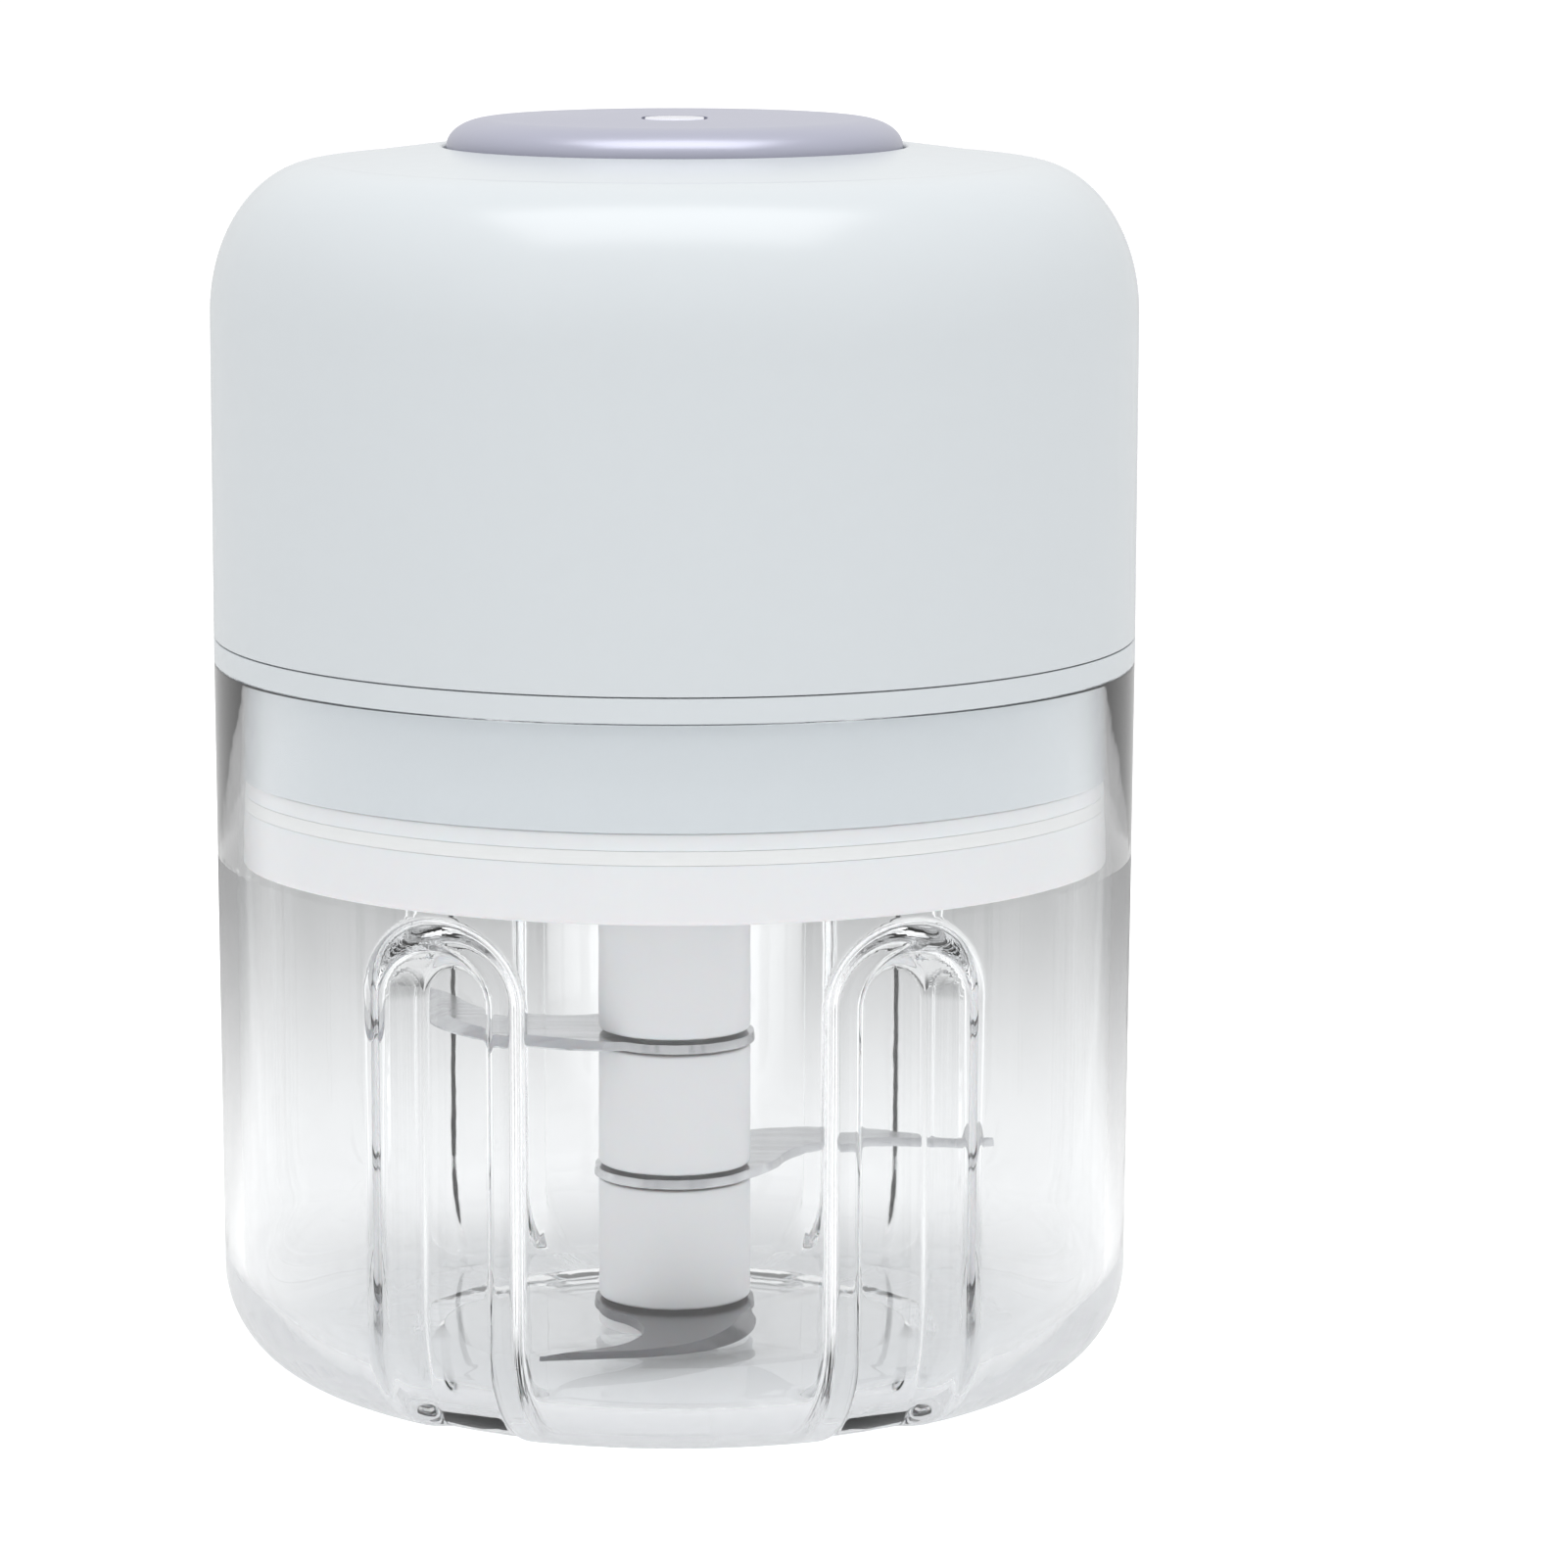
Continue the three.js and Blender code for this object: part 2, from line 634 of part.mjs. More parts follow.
// ---- Housing ----
function makeShell() {
  const outside = [
    [bodyR, shellZ],
    ...arc(shoulderR, shoulderZ, shoulderIn, shoulderH, 0, 90, 8),
    [crownHoleR, shellTopZ],
  ];
  const inside = [
    [crownHoleR, shellTopZ - shellWall],
    ...arc(shoulderR, shoulderZ, shoulderIn - shellWall, shoulderH - shellWall, 90, 0, 6),
    [shellInnerR, shellZ],
  ];
  const inFrom = [[0, plateZ], [bodyR, plateZ]];
  const filled = turned([...inFrom, ...outside, [0, shellTopZ]], bodySides);
  const envelope = filled.translate([0, 0, -overlap]);
  const webEndR = shellInnerR + overlap;
  const pillar = joined(
    rodAt(caseScrewAt, 0, pillarR, caseBossTopZ + gap, shoulderTopZ),
    block(caseScrewAt, webEndR, -webHalf, webHalf, shellZ + lipH + 1, shoulderTopZ),
  );
  const pilot = rodAt(caseScrewAt, 0, caseScrewR + gap, caseBossTopZ, caseBossTopZ + caseScrewL);
  let shell = turned([...outside, ...inside], bodySides);
  for (const angle of caseScrewAngles) {
    const trimmed = pillar.rotate([0, 0, angle]).intersect(envelope);
    shell = shell.add(cut(trimmed, pilot.rotate([0, 0, angle])));
  }
  const halfW = usbW / 2 + portRoom;
  const halfH = usbH / 2 + portRoom;
  const port = block(-halfW, halfW, shellInnerR - 4, bodyR + 2, usbZ - halfH, usbZ + halfH);
  return cut(shell, port);
}

addPiece("head_parts", "head_shell", makeShell(), "housing");

// ---- Button ----
function makeButton() {
  const topR = buttonR - buttonBevelIn;
  const rimZ = shellTopZ - 0.1;
  const innerR = buttonR - buttonT;
  const outline = [
    [0, buttonUnderZ],
    [topR - 1, buttonUnderZ],
    [innerR, rimZ - 0.6],
    [innerR, rimZ - buttonSkirt],
    [buttonR, rimZ - buttonSkirt],
    ...arc(topR, rimZ, buttonBevelIn, buttonTopZ - rimZ, 0, 90, 5),
    [0, buttonTopZ],
  ];
  const hookTopZ = shellTopZ - shellWall - gap;
  let cap = turned(outline, bodySides);
  cap = cap.add(rodAt(0, 0, buttonStemR, stemZ, buttonUnderZ + overlap));
  const hookEndR = crownHoleR + hookReach;
  for (let i = 0; i < buttonHooks; i++) {
    const hook = block(innerR, hookEndR, -hookW / 2, hookW / 2, hookTopZ - hookT, hookTopZ);
    cap = cap.add(hook.rotate([0, 0, 90 + (360 / buttonHooks) * i]));
  }
  return cut(cap, plate(windowOutline(gap), buttonTopZ - windowT - gap, buttonTopZ + 1));
}

function windowOutline(room) {
  const half = windowW / 2 + room;
  const straight = windowL / 2 - windowW / 2;
  const oval = new THREE.Shape();
  oval.moveTo(half, -straight);
  oval.lineTo(half, straight);
  oval.absarc(0, straight, half, 0, Math.PI, false);
  oval.lineTo(-half, -straight);
  oval.absarc(0, -straight, half, Math.PI, 2 * Math.PI, false);
  return oval;
}

class SpringPath extends THREE.Curve {
  getPoint(t, target = new THREE.Vector3()) {
    const turn = 2 * Math.PI * springTurns * t;
    const rise = (buttonUnderZ - gap - springWire - springBottomZ) * t;
    return target.set(springR * Math.cos(turn), springR * Math.sin(turn), springBottomZ + rise);
  }
}
const springBottomZ = switchBoardZ + boardT + gap + springWire;

function makeSpring() {
  const wire = new THREE.Shape().absarc(0, 0, springWire, 0, 2 * Math.PI, false);
  const settings = { steps: 10 * springTurns, curveSegments: 3, extrudePath: new SpringPath() };
  return solidOf(new THREE.ExtrudeGeometry(wire, settings));
}

const windowZ = buttonTopZ - windowT;
addPiece("head_parts", "button_cap", makeButton(), "button");
addPiece("head_parts", "button_window", plate(windowOutline(0), windowZ, buttonTopZ), "white");
addPiece("head_parts", "button_spring", makeSpring(), "steel");

// ---- Gearbox ----
const toothTop = gearModule;
const toothRoot = 1.2 * gearModule;
// Tooth phases that bring sun, planets and ring into mesh with a sun tooth along +X.
const planetPhase = (turn) => turn + Math.PI + (sunTeeth * turn - Math.PI) / planetTeeth;
const ringPhase = ((planetTeeth % 2) * Math.PI) / ringTeeth;

function eared(solid, z0, z1) {
  let whole = solid;
  for (const angle of earAngles) {
    const web = block(gearboxR - 1, earAt, -earR + earWebIn, earR - earWebIn, z0, z1);
    const ear = joined(rodAt(earAt, 0, earR, z0, z1), web);
    whole = whole.add(ear.rotate([0, 0, angle]));
  }
  for (const angle of earAngles) {
    const [x, y] = polar(earAt, angle);
    whole = cut(whole, rodAt(x, y, earHoleR, z0 - 1, z1 + 1));
  }
  return whole;
}

// The ring's teeth are what is left round the outline of a gear that would fill it.
function makeRingGear() {
  const wall = round(gearboxR, 0, gearboxZ, gearboxTopZ, partSides);
  const outline = spurOutline(ringTeeth, toothRoot, toothTop, ringPhase + Math.PI / ringTeeth, 1.16);
  const teeth = plate(outline, gearboxZ + gearboxFloor, gearboxTopZ + 1);
  const bore = rodAt(0, 0, outBoreR, 0, gearboxTopZ, partSides);
  const ears = eared(wall, plateZ + earBossH + gap, gearboxTopZ);
  return cut(ears, teeth, bore);
}

function makeCover() {
  let cover = eared(round(gearboxR, 0, coverZ, coverTopZ, partSides), coverZ, coverTopZ);
  cover = cut(cover, rodAt(0, 0, spigotR + gap, 0, coverTopZ + 1, partSides));
  for (const x of [-motorScrewAt, motorScrewAt]) {
    const hole = rodAt(x, 0, motorHoleR, 0, coverTopZ + 1);
    cover = cut(cover, hole, rodAt(x, 0, motorSeatR, 0, coverZ + motorSeatH));
  }
  return cover;
}

function makeCarrier() {
  let carrier = round(planetAt + rimPastPins, shaftR + gap, carrierZ, carrierZ + carrierT);
  for (let i = 0; i < planets; i++) {
    const [x, y] = polar(planetAt, (360 / planets) * i);
    carrier = cut(carrier, rodAt(x, y, planetPinR + gap, 0, gearboxTopZ));
  }
  return carrier;
}

function makePlanet() {
  const blank = plate(spurOutline(planetTeeth, toothTop, toothRoot, 0), 0, gearW);
  return cut(blank, rodAt(0, 0, planetPinR + gap, -1, gearW + 1));
}

function makeDog() {
  const shaftHole = rodAt(0, 0, shaftR + gap, dogZ + dogSocket, dogTopZ + 1, partSides);
  return cut(sixSided(dogR, dogZ, dogTopZ), shaftHole);
}

const sunBore = rodAt(0, 0, motorShaftR + gap, 0, gearboxTopZ);
const sunGear = cut(plate(spurOutline(sunTeeth, toothTop, toothRoot, 0), gearZ, gearZ + gearW), sunBore);
const outSealZ = nozzleZ + 0.2;
addPiece("head_parts", "ring_gear", makeRingGear(), "nylon");
addPiece("head_parts", "gearbox_cover", makeCover(), "steel");
addPiece("head_parts", "planet_carrier", makeCarrier(), "steel");
addPiece("head_parts", "sun_gear", sunGear, "brass");
addPiece("head_parts", "drive_dog", makeDog(), "nylon");
const outputShaft = round(shaftR, 0, dogZ + dogSocket + gap, gearZ - gap);
addPiece("head_parts", "output_shaft", outputShaft, "steel");
addPiece("head_parts", "output_seal", round(outBushR, shaftR + gap, outSealZ, plugZ - gap), "darkPlastic");
addPiece("head_parts", "output_bush", round(outBushR, shaftR + gap, plugZ, carrierZ - gap), "brass");
for (let i = 0; i < planets; i++) {
  const turn = (2 * Math.PI * i) / planets;
  const [x, y] = [planetAt * Math.cos(turn), planetAt * Math.sin(turn)];
  const gear = addPiece("head_parts", "planet_gear_" + (i + 1), makePlanet(), "nylon");
  gear.position.set(x, y, gearZ);
  gear.rotation.z = planetPhase(turn);
  const axle = round(planetPinR, 0, 0, gearZ + gearW + 0.6 - carrierZ, boltSides);
  const pin = addPiece("head_parts", "planet_pin_" + (i + 1), axle, "steel");
  pin.position.set(x, y, carrierZ);
}

// ---- Motor ----
const canInnerR = motorR - motorWall;
const magnetZ = motorZ + 5;
const magnetTopZ = motorTopZ - 7;
const magnetR = canInnerR - gap;

function makeCan() {
  const outline = [
    [motorShaftR + gap, motorZ - spigotH],
    [spigotR, motorZ - spigotH],
    [spigotR, motorZ],
    [motorR, motorZ],
    [motorR, motorTopZ],
    [canInnerR, motorTopZ],
    [canInnerR, motorZ + canFloor],
    [motorShaftR + gap, motorZ + canFloor],
  ];
  const holes = [-motorScrewAt, motorScrewAt].map((x) => rodAt(x, 0, motorHoleR, 0, motorZ + 3));
  return cut(turned(outline), ...holes);
}

function makeEndCap() {
  const outline = [
    [motorShaftR + gap, endCapZ - endCapIn],
    [canInnerR - gap, endCapZ - endCapIn],
    [canInnerR - gap, endCapZ],
    [motorR, endCapZ],
    [motorR, endCapZ + endCapT],
    [motorShaftR + gap, endCapZ + endCapT],
  ];
  return turned(outline);
}

// A curved magnet, given by its middle's direction.
function makeMagnet(middle) {
  const from = radians(middle - magnetSpan / 2);
  const to = radians(middle + magnetSpan / 2);
  const shape = new THREE.Shape();
  shape.absarc(0, 0, magnetR, from, to, false);
  shape.absarc(0, 0, magnetR - magnetT, to, from, true);
  return plate(shape, magnetZ, magnetTopZ, 8);
}

// Three wound poles round the shaft: a wide shoe at each pole's end, windings between.
function makeArmature() {
  const poleR = magnetR - magnetT - 2 * gap;
  const [z0, z1] = [magnetZ + 0.5, magnetTopZ - 0.5];
  const shoes = round(poleR, poleR - shoeT, z0, z1);
  const windings = round(poleR - 2.6, 0, z0 - 1, z1 + 1);
  let armature = windings;
  for (let i = 0; i < 3; i++) {
    const wedge = new THREE.Shape();
    wedge.moveTo(0, 0);
    wedge.lineTo(...polar(2 * poleR, -50));
    wedge.lineTo(...polar(2 * poleR, 50));
    const shoe = shoes.intersect(plate(wedge, z0, z1));
    const pole = joined(block(0, poleR - 1, -poleW / 2, poleW / 2, z0, z1), shoe);
    armature = armature.add(pole.rotate([0, 0, 120 * i + 60]));
  }
  return cut(armature, rodAt(0, 0, motorShaftR + gap, 0, motorTopZ));
}

const commutatorZ = magnetTopZ + 1;
const commutatorBoreR = motorShaftR + gap;
const commutator = round(commutatorR, commutatorBoreR, commutatorZ, commutatorZ + commutatorL);
const motorShaft = round(motorShaftR, 0, gearZ + gap, endCapZ + endCapT - 0.8, boltSides);
addPiece("head_parts", "motor_can", makeCan(), "steel");
addPiece("head_parts", "motor_end_cap", makeEndCap(), "darkPlastic");
addPiece("head_parts", "motor_magnet_front", makeMagnet(-90), "magnet");
addPiece("head_parts", "motor_magnet_back", makeMagnet(90), "magnet");
addPiece("head_parts", "armature", makeArmature(), "copper");
addPiece("head_parts", "commutator", commutator, "copper");
addPiece("head_parts", "motor_shaft", motorShaft, "steel");

// ---- Battery, boards and switch ----
function makeCell() {
  const top = cellZ + cellL;
  const outline = [[0, cellZ], [cellR - 0.5, cellZ], [cellR, cellZ + 0.5], [cellR, top - 1.5]];
  outline.push([cellR - 0.5, top - 1], [cellButtonR, top - 1], [cellButtonR, top], [0, top]);
  return turned(outline).translate([cellAt, 0, 0]);
}

function makeCradle() {
  const wall = round(cradleR, cellR + gap, cradleZ, cradleZ + cradleH);
  const floor = round(cradleR, 0, cradleZ, cradleZ + cradleT);
  const half = cradleMouth / 2;
  const mouth = new THREE.Shape();
  mouth.moveTo(0, 0);
  mouth.lineTo(...polar(2 * cradleR, -half));
  mouth.lineTo(...polar(2 * cradleR, half));
  return cut(joined(wall, floor), plate(mouth, cradleZ - 1, cradleZ + cradleH + 1))
    .add(round(cradleR - cradleT, 0, cradleZ, cradleZ + cradleT))
    .translate([cellAt, 0, 0]);
}

function makeUsbSocket() {
  const [x, z] = [usbW / 2, usbH / 2];
  const y0 = chargeBoardY + gap;
  const whole = block(-x, x, y0, y0 + usbL, usbZ - z, usbZ + z);
  const [ix, iz] = [x - usbSheet, z - usbSheet];
  return cut(whole, block(-ix, ix, y0 + usbBack, y0 + usbL + 1, usbZ - iz, usbZ + iz));
}

function makeBracket() {
  const sleeveR = motorR + gap;
  const outline = [
    [0, bracketTopZ - bracketT],
    [sleeveR, bracketTopZ - bracketT],
    [sleeveR, bracketTopZ - bracketH],
    [sleeveR + bracketT, bracketTopZ - bracketH],
    [sleeveR + bracketT, bracketTopZ],
    [0, bracketTopZ],
  ];
  return turned(outline);
}

function makeSwitch() {
  const half = switchW / 2;
  const body = block(-half, half, -half, half, switchZ, switchZ + switchH);
  return joined(body, rodAt(0, 0, 1.75, switchZ, nubTopZ));
}

const chargeHalf = chargeBoardW / 2;
const chargeBoard = block(
  -chargeHalf,
  chargeHalf,
  chargeBoardY - boardT,
  chargeBoardY,
  chargeBoardZ,
  chargeBoardZ + chargeBoardH,
);
const tongueY = chargeBoardY + gap + usbBack + gap;
const tongueX = usbW / 2 - tongueIn;
const tongueLowZ = usbZ - tongueT / 2;
const usbTongue = block(-tongueX, tongueX, tongueY, tongueY + tongueL, tongueLowZ, tongueLowZ + tongueT);
const switchBoard = round(switchBoardR, 0, switchBoardZ, switchBoardZ + boardT);
addPiece("head_parts", "battery_cell", makeCell(), "sleeve");
addPiece("head_parts", "battery_cradle", makeCradle(), "darkPlastic");
addPiece("head_parts", "charge_board", chargeBoard, "board");
addPiece("head_parts", "usb_socket", makeUsbSocket(), "steel");
addPiece("head_parts", "usb_tongue", usbTongue, "darkPlastic");
addPiece("head_parts", "switch_bracket", makeBracket(), "darkPlastic");
addPiece("head_parts", "switch_board", switchBoard, "board");
addPiece("head_parts", "push_switch", makeSwitch(), "darkPlastic");
addPiece("head_parts", "status_led", rodAt(0, -ledAt, ledR, switchZ, switchZ + ledH), "white");

// ---- Screws ----
function addScrews(name, solid, places, z, pointUp) {
  places.forEach(([x, y], i) => {
    const mesh = addPiece("head_parts", name + "_" + (i + 1), solid, "steel");
    mesh.position.set(x, y, z);
    if (!pointUp) mesh.rotation.x = Math.PI;
  });
}

const caseScrewPlaces = caseScrewAngles.map((angle) => polar(caseScrewAt, angle));
const earPlaces = earAngles.map((angle) => polar(earAt, angle));
const motorScrewPlaces = [-motorScrewAt, motorScrewAt].map((x) => [x, 0]);
const caseScrew = screw(caseHeadR, caseHeadH, caseScrewR, caseScrewL);
const earScrew = screw(smallHeadR, smallHeadH, smallScrewR, coverTopZ - plateZ);
const motorScrew = screw(motorSeatR - gap - 0.1, motorSeatH - gap - 0.1, smallScrewR, motorScrewL);
addScrews("case_screw", caseScrew, caseScrewPlaces, caseSeatZ, true);
addScrews("gearbox_screw", earScrew, earPlaces, coverTopZ + gap, false);
addScrews("motor_screw", motorScrew, motorScrewPlaces, coverZ + motorSeatH - gap, true);

export default chopper;
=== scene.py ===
import math
import bmesh
import bpy
from mathutils import Matrix, Vector
from mathutils.geometry import tessellate_polygon


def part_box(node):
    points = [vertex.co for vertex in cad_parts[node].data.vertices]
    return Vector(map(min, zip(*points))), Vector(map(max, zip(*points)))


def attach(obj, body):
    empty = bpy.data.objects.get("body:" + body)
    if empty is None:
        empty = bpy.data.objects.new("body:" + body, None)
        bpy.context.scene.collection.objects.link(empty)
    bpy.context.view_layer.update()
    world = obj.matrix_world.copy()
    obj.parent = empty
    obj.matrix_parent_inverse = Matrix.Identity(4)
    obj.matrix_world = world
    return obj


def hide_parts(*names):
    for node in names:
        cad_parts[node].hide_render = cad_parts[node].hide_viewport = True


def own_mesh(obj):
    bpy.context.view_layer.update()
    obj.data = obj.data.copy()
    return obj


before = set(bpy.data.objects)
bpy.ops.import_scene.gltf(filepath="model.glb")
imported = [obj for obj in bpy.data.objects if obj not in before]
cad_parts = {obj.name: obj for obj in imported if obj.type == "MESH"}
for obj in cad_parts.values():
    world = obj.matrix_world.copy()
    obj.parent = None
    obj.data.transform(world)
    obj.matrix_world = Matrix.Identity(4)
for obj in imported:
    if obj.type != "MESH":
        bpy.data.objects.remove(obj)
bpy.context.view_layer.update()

# A small cordless chopper: clear cup, blade tower, inner lid, motor head with a press button.
# Sizes in the dictionaries are millimetres; everything built from them is in metres.
mm = 0.001
micro = 0.000001
scene = bpy.context.scene
print("frame loaded:", len(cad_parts), "nodes")


def corners(node):
    # a CAD node's lowest and highest corner, in millimetres
    low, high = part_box(node)
    return low / mm, high / mm


def addNode(tree, kind, inputs=None, **settings):
    made = tree.nodes.new(kind)
    for key, value in settings.items():
        setattr(made, key, value)
    for key, value in (inputs or {}).items():
        if isinstance(value, bpy.types.NodeSocket):
            tree.links.new(value, made.inputs[key])
        else:
            made.inputs[key].default_value = value
    return made


def result(tree, kind, inputs=None, **settings):
    # a node that is only used for its first output
    return addNode(tree, kind, inputs, **settings).outputs[0]


def sums(tree, operation, first, second=0.0):
    return result(tree, "ShaderNodeMath", {0: first, 1: second}, operation=operation)


def times(tree, first, *others):
    for other in others:
        first = sums(tree, "MULTIPLY", first, other)
    return first


def camel(label):
    # "Grain Scale" is given as grainScale
    key = label.replace(" ", "")
    return key[0].lower() + key[1:]


def newShapeTree(name, sizes, counts=()):
    tree = bpy.data.node_groups.new(name, "GeometryNodeTree")
    tree.is_modifier = True
    tree.interface.new_socket("Geometry", in_out="INPUT", socket_type="NodeSocketGeometry")
    for label in sizes:
        kind = "NodeSocketInt" if label in counts else "NodeSocketFloat"
        tree.interface.new_socket(label, in_out="INPUT", socket_type=kind)
    tree.interface.new_socket("Geometry", in_out="OUTPUT", socket_type="NodeSocketGeometry")
    return tree, addNode(tree, "NodeGroupInput").outputs


def closeTree(tree, shape):
    addNode(tree, "NodeGroupOutput", {0: result(tree, "GeometryNodeRealizeInstances", {0: shape})})
    return tree


def circled(tree, radius, turn, height=0.0):
    # the spot at this radius and angle about the Z axis
    east = times(tree, radius, sums(tree, "COSINE", turn))
    north = times(tree, radius, sums(tree, "SINE", turn))
    return result(tree, "ShaderNodeCombineXYZ", {0: east, 1: north, 2: height})


def makeTurnTree():
    # turns the outline held by the object's own mesh (radius in X, height in Z) about the Z axis
    tree, given = newShapeTree("turned outline", ["Sides"], counts=["Sides"])
    shape = given["Geometry"]
    size = addNode(tree, "GeometryNodeAttributeDomainSize", {0: shape}, component="MESH")
    points = size.outputs["Point Count"]
    across = sums(tree, "ADD", given["Sides"], 1.0)
    grid = result(tree, "GeometryNodeMeshGrid", {"Vertices X": across, "Vertices Y": points})
    index = result(tree, "GeometryNodeInputIndex")
    place = sums(tree, "MODULO", index, points)
    column = sums(tree, "FLOOR", sums(tree, "DIVIDE", sums(tree, "ADD", index, 0.5), points))
    turn = times(tree, sums(tree, "DIVIDE", column, given["Sides"]), 2 * math.pi)
    asked = {"Geometry": shape, "Value": result(tree, "GeometryNodeInputPosition"), "Index": place}
    found = result(tree, "GeometryNodeSampleIndex", asked, data_type="FLOAT_VECTOR", domain="POINT")
    parts = addNode(tree, "ShaderNodeSeparateXYZ", {0: found}).outputs
    where = circled(tree, parts["X"], turn, parts["Z"])
    moved = result(tree, "GeometryNodeSetPosition", {"Geometry": grid, "Position": where})
    return closeTree(tree, result(tree, "GeometryNodeMergeByDistance", {0: moved, "Distance": 1e-7}))


def makeRingTree():
    # stands copies of the object's own mesh on a circle, each turned to face outwards
    tree, given = newShapeTree("ring of copies", ["Count", "Radius", "First Angle"], counts=["Count"])
    step = sums(tree, "DIVIDE", 2 * math.pi, given["Count"])
    turn = sums(tree, "ADD", times(tree, result(tree, "GeometryNodeInputIndex"), step), given["First Angle"])
    where = circled(tree, given["Radius"], turn)
    points = result(tree, "GeometryNodePoints", {"Count": given["Count"], "Position": where})
    facing = result(tree, "ShaderNodeCombineXYZ", {2: turn})
    stood = {"Points": points, "Instance": given["Geometry"], "Rotation": facing}
    return closeTree(tree, result(tree, "GeometryNodeInstanceOnPoints", stood))


def makeCoilTree():
    # a wire wound up the Z axis, with flat capped ends
    labels = ["Turns", "Coil Radius", "Height", "Wire Radius", "Lift"]
    tree, given = newShapeTree("wound wire", labels)
    wound = {
        "Resolution": 48,
        "Rotations": given["Turns"],
        "Start Radius": given["Coil Radius"],
        "End Radius": given["Coil Radius"],
        "Height": given["Height"],
    }
    spiral = result(tree, "GeometryNodeCurveSpiral", wound)
    lift = result(tree, "ShaderNodeCombineXYZ", {2: given["Lift"]})
    raised = result(tree, "GeometryNodeSetPosition", {"Geometry": spiral, "Offset": lift})
    section = {"Resolution": 12, "Radius": given["Wire Radius"]}
    circle = result(tree, "GeometryNodeCurvePrimitiveCircle", section)
    drawn = {"Curve": raised, "Profile Curve": circle, "Fill Caps": True}
    return closeTree(tree, result(tree, "GeometryNodeCurveToMesh", drawn))


turnTree = makeTurnTree()
ringTree = makeRingTree()
coilTree = makeCoilTree()


def newObject(name, points, edges=(), faces=()):
    mesh = bpy.data.meshes.new(name)
    mesh.from_pydata([tuple(Vector(p) * mm) for p in points], edges, faces)
    made = bpy.data.objects.new(name, mesh)
    scene.collection.objects.link(made)
    return made


def solidify(obj):
    # welds the mesh and turns all its faces outwards
    work = bmesh.new()
    work.from_mesh(obj.data)
    bmesh.ops.remove_doubles(work, verts=work.verts, dist=1e-7)
    bmesh.ops.dissolve_degenerate(work, edges=work.edges, dist=1e-8)
    bmesh.ops.recalc_face_normals(work, faces=work.faces)
    if work.calc_volume(signed=True) < 0:
        bmesh.ops.reverse_faces(work, faces=work.faces)
    work.to_mesh(obj.data)
    work.free()
    return obj


def settled(obj):
    # keeps what the object's modifiers make of it as a plain mesh
    depsgraph = bpy.context.evaluated_depsgraph_get()
    mesh = bpy.data.meshes.new_from_object(obj.evaluated_get(depsgraph), depsgraph=depsgraph)
    obj.modifiers.clear()
    obj.data = mesh
    return obj


def grown(obj, tree, **sizes):
    # runs a node tree on the object
    modifier = obj.modifiers.new(tree.name, "NODES")
    modifier.node_group = tree
    for item in tree.interface.items_tree:
        key = camel(item.name)
        if item.in_out == "INPUT" and key in sizes:
            modifier[item.identifier] = sizes[key]
    return settled(obj)


def turned(outline, sides=160, closed=True):
    # a solid of revolution from (radius, height) points
    points = [(r, 0, z) for r, z in outline]
    if closed:
        points.append(points[0])
    edges = [(i, i + 1) for i in range(len(points) - 1)]
    return solidify(grown(newObject("turned", points, edges), turnTree, sides=sides))


def eased(points, steps=5):
    # an outline whose corners are rounded by their third number
    outline = []
    for i, point in enumerate(points):
        here = Vector(point[:2])
        if len(point) < 3:
            outline.append(tuple(here))
            continue
        before = Vector(points[i - 1][:2]) - here
        after = Vector(points[(i + 1) % len(points)][:2]) - here
        reach = point[2] / math.tan(before.angle(after) / 2)
        reach = min(reach, 0.48 * before.length, 0.48 * after.length)
        first = here + before.normalized() * reach
        last = here + after.normalized() * reach
        for s in range(steps + 1):
            t = s / steps
            spot = first * (1 - t) ** 2 + here * (2 * t * (1 - t)) + last * t**2
            outline.append(tuple(spot))
    return outline


def arc(centreR, centreZ, radiusR, radiusZ, start, stop, steps):
    turns = [math.radians(start + (stop - start) * i / steps) for i in range(steps + 1)]
    return [(centreR + radiusR * math.cos(a), centreZ + radiusZ * math.sin(a)) for a in turns]


def polar(radius, degrees):
    turn = math.radians(degrees)
    return Vector((radius * math.cos(turn), radius * math.sin(turn)))


def smoothBoolean(obj, tool, operation):
    modifier = obj.modifiers.new("cut", "BOOLEAN")
    modifier.operation = operation
    modifier.solver = "EXACT"
    modifier.object = tool
    settled(obj)
    bpy.data.objects.remove(tool)
    return obj


def cut(obj, *tools):
    for tool in tools:
        smoothBoolean(obj, tool, "DIFFERENCE")
    return obj


def joined(obj, *tools):
    for tool in tools:
        smoothBoolean(obj, tool, "UNION")
    return obj


def moved(obj, x=0, y=0, z=0, turn=0):
    place = Matrix.Translation(Vector((x, y, z)) * mm)
    obj.data.transform(place @ Matrix.Rotation(math.radians(turn), 4, "Z"))
    return obj


def rod(radius, low, high, x=0, y=0, sides=32):
    outline = [(0, low), (radius, low), (radius, high), (0, high)]
    return moved(turned(outline, sides, closed=False), x, y)


def softBlock(low, high, bevel, along="ALL"):
    # a block with bevelled edges; along limits the bevel to the edges that run that way
    made = newObject("block", [])
    work = bmesh.new()
    bmesh.ops.create_cube(work, size=1)
    low, high = Vector(low) * mm, Vector(high) * mm
    for vert in work.verts:
        vert.co = [low[k] if vert.co[k] < 0 else high[k] for k in range(3)]
    edges = list(work.edges)
    if along != "ALL":
        axis = "XYZ".index(along)
        edges = [e for e in edges if abs((e.verts[0].co - e.verts[1].co)[axis]) > 1e-6]
    bmesh.ops.bevel(work, geom=edges, offset=bevel * mm, segments=5, profile=0.5, affect="EDGES")
    work.to_mesh(made.data)
    work.free()
    return made


